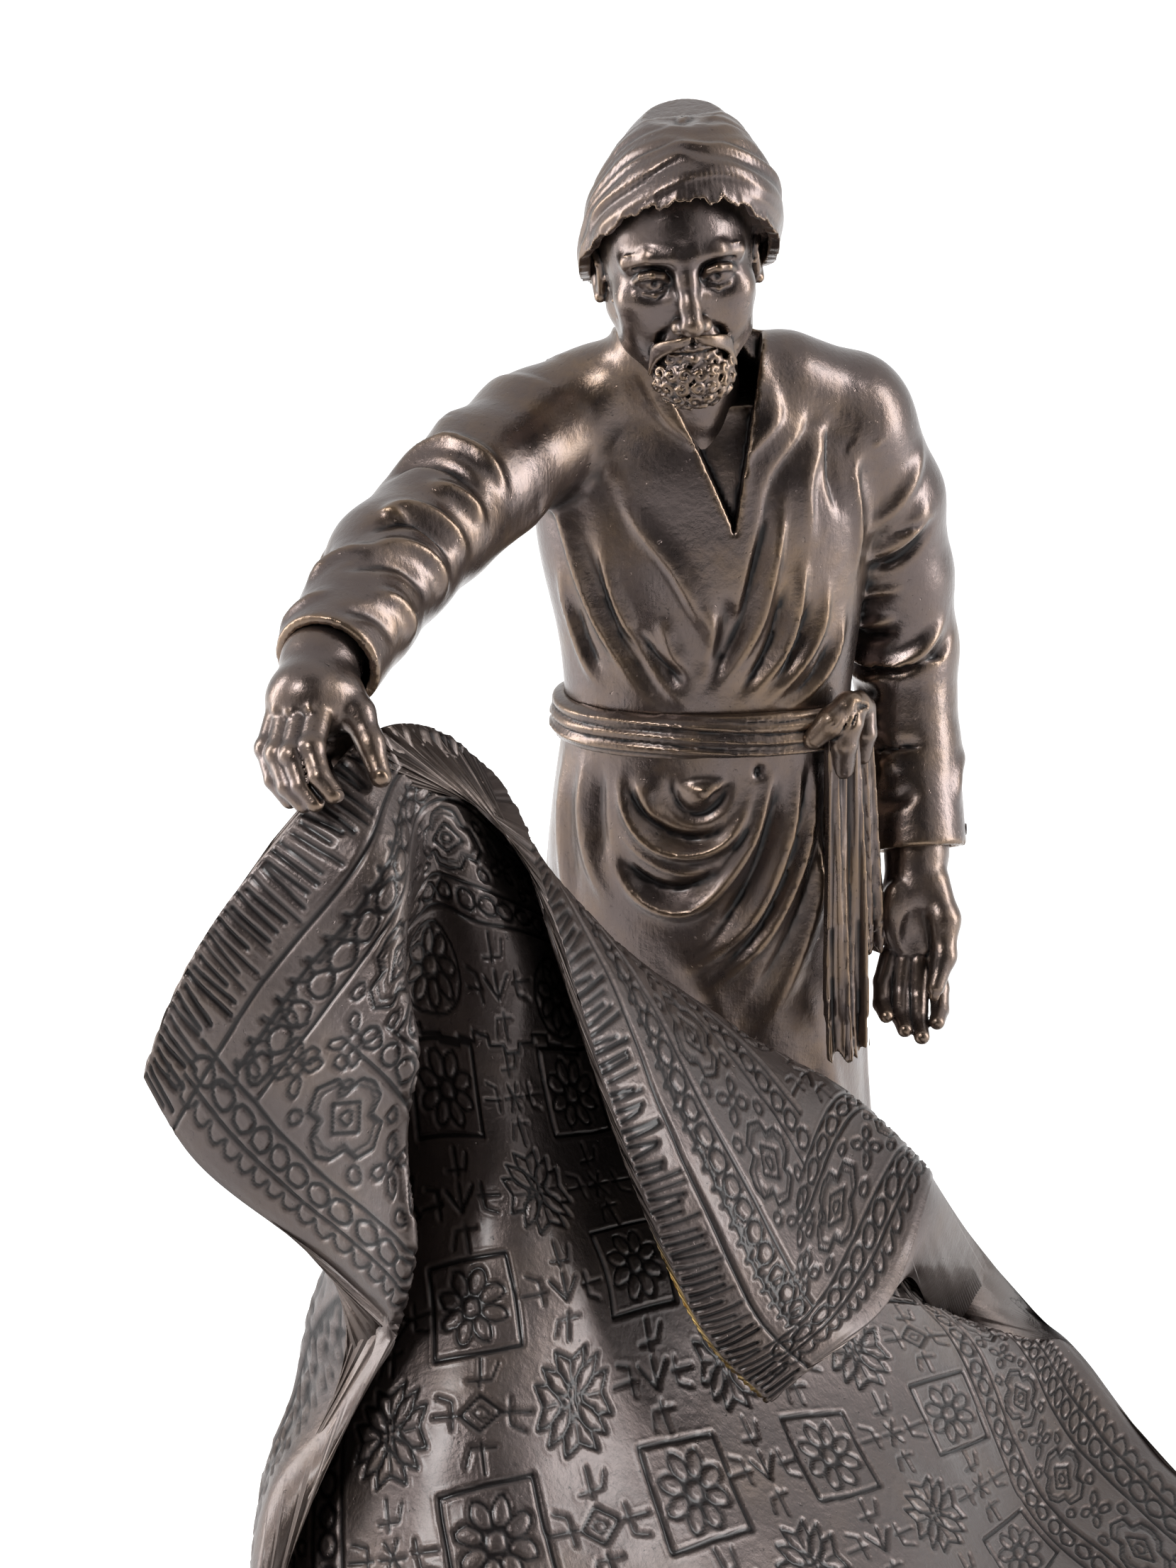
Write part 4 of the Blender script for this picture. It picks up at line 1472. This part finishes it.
# ---------------------------------------------------------------- the remaining CAD pieces
def plain(name, colour, metallic, roughness, scale, strength):
    """A simple surface with a fine procedural grain."""
    material = bpy.data.materials.new(name)
    material.use_nodes = True
    nodes, links = material.node_tree.nodes, material.node_tree.links
    shader = nodes["Principled BSDF"]
    shader.inputs["Metallic"].default_value = metallic
    shader.inputs["Roughness"].default_value = roughness
    where = nodes.new("ShaderNodeTexCoord")
    grain = nodes.new("ShaderNodeTexNoise")
    grain.inputs["Scale"].default_value = scale
    grain.inputs["Detail"].default_value = 5
    links.new(where.outputs["Object"], grain.inputs["Vector"])
    shade = nodes.new("ShaderNodeMix")
    shade.data_type = "RGBA"
    shade.inputs[6].default_value = (*[c * 0.7 for c in colour], 1)
    shade.inputs[7].default_value = (*[min(1, c * 1.25) for c in colour], 1)
    links.new(grain.outputs["Fac"], shade.inputs["Factor"])
    links.new(shade.outputs[2], shader.inputs["Base Color"])
    bump = nodes.new("ShaderNodeBump")
    bump.inputs["Strength"].default_value = strength
    bump.inputs["Distance"].default_value = 0.0005
    links.new(grain.outputs["Fac"], bump.inputs["Height"])
    links.new(bump.outputs["Normal"], shader.inputs["Normal"])
    return material


FELT = plain("green_felt", (0.03, 0.07, 0.045), 0, 0.95, 2600, 0.8)
STEEL = plain("turned_steel", (0.50, 0.49, 0.47), 1, 0.32, 900, 0.15)
NODE_MATERIALS = {
    FELT: ("felt_pad",),
    STEEL: ("foot_studs", "foot_nuts", "foot_washers", "waist_screws"),
    BARE_BRONZE: ("waist_ring",),
    FIGURE_BRONZE: ("ground_plate", "left_slipper", "right_slipper", "neck_pin", "right_shoulder_pin",
                    "left_shoulder_pin", "right_wrist_pin", "left_wrist_pin", "grip_pin"),
}
for material, names in NODE_MATERIALS.items():
    for name in names:
        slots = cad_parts[name].data.materials
        for number in range(len(slots)):
            slots[number] = material


# ---------------------------------------------------------------- studio
def card(name, corners, colour, glow=0.0):
    mesh = bpy.data.meshes.new(name)
    mesh.from_pydata(corners, [], [(0, 1, 2, 3)])
    item = bpy.data.objects.new(name, mesh)
    bpy.context.collection.objects.link(item)
    material = bpy.data.materials.new(name)
    material.use_nodes = True
    shader = material.node_tree.nodes["Principled BSDF"]
    shader.inputs["Base Color"].default_value = (*colour, 1)
    shader.inputs["Roughness"].default_value = 0.9
    if glow:
        shader.inputs["Emission Color"].default_value = (1, 1, 1, 1)
        shader.inputs["Emission Strength"].default_value = glow
    mesh.materials.append(material)
    item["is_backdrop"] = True
    return item


def softbox(name, place, aim, power, size):
    light = bpy.data.lights.new(name, "AREA")
    light.shape = "RECTANGLE"
    light.energy = power
    light.size, light.size_y = size
    item = bpy.data.objects.new(name, light)
    bpy.context.collection.objects.link(item)
    item.location = place
    item.rotation_euler = (Vector(aim) - Vector(place)).to_track_quat("-Z", "Y").to_euler()


FLOOR_HALF = 3.0
DARK = (0.01, 0.01, 0.01)
card("floor", [(-FLOOR_HALF, -FLOOR_HALF, 0), (FLOOR_HALF, -FLOOR_HALF, 0), (FLOOR_HALF, FLOOR_HALF, 0),
               (-FLOOR_HALF, FLOOR_HALF, 0)], (0.92, 0.92, 0.92), 0.2)
# Two dark cards, hidden from the camera, that the bronze reflects.
flag = card("flag", [(-1.0, -1.7, 0.02), (1.0, -1.7, 0.02), (1.0, -1.7, 2.4), (-1.0, -1.7, 2.4)], DARK)
flag.visible_camera = False
upper_flag = card("upper_flag", [(-1.0, -1.7, 2.4), (1.0, -1.7, 2.4), (1.0, -0.55, 2.5), (-1.0, -0.55, 2.5)],
                  DARK)
upper_flag.visible_camera = False

world = bpy.data.worlds.new("studio")
world.use_nodes = True
world.node_tree.nodes["Background"].inputs["Color"].default_value = (1, 1, 1, 1)
world.node_tree.nodes["Background"].inputs["Strength"].default_value = 1.0
bpy.context.scene.world = world
bpy.context.scene.view_settings.view_transform = "Standard"

# What the camera looks at, from one metre away and 20 degrees above the level.
TARGET = Vector((-0.024, -0.040, 0.161))
ELEVATION = math.radians(20)
SENSOR_MM, LENS_MM = 36, 116.1
softbox("key", (-0.55, -0.75, 0.95), (0, -0.04, 0.2), 8.0, (0.22, 0.3))
softbox("right_side", (1.0, -0.15, 0.45), TARGET, 12.0, (0.3, 0.9))
softbox("left_side", (-1.0, 0.05, 0.45), TARGET, 12.0, (0.3, 0.9))

camera = bpy.data.cameras.new("camera")
camera.sensor_width = SENSOR_MM
camera.lens = LENS_MM
camera_object = bpy.data.objects.new("camera", camera)
bpy.context.collection.objects.link(camera_object)
bpy.context.scene.camera = camera_object
toward_camera = Vector((0, -math.cos(ELEVATION), math.sin(ELEVATION)))
camera_object.location = TARGET + toward_camera
camera_object.rotation_euler = (-toward_camera).to_track_quat("-Z", "Y").to_euler()


def plain_lists(value):
    return [plain_lists(part) for part in value] if hasattr(value, "__len__") else round(float(value), 5)


{"cad": plain_lists(CAD_BOX), "visual": plain_lists(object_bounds())}
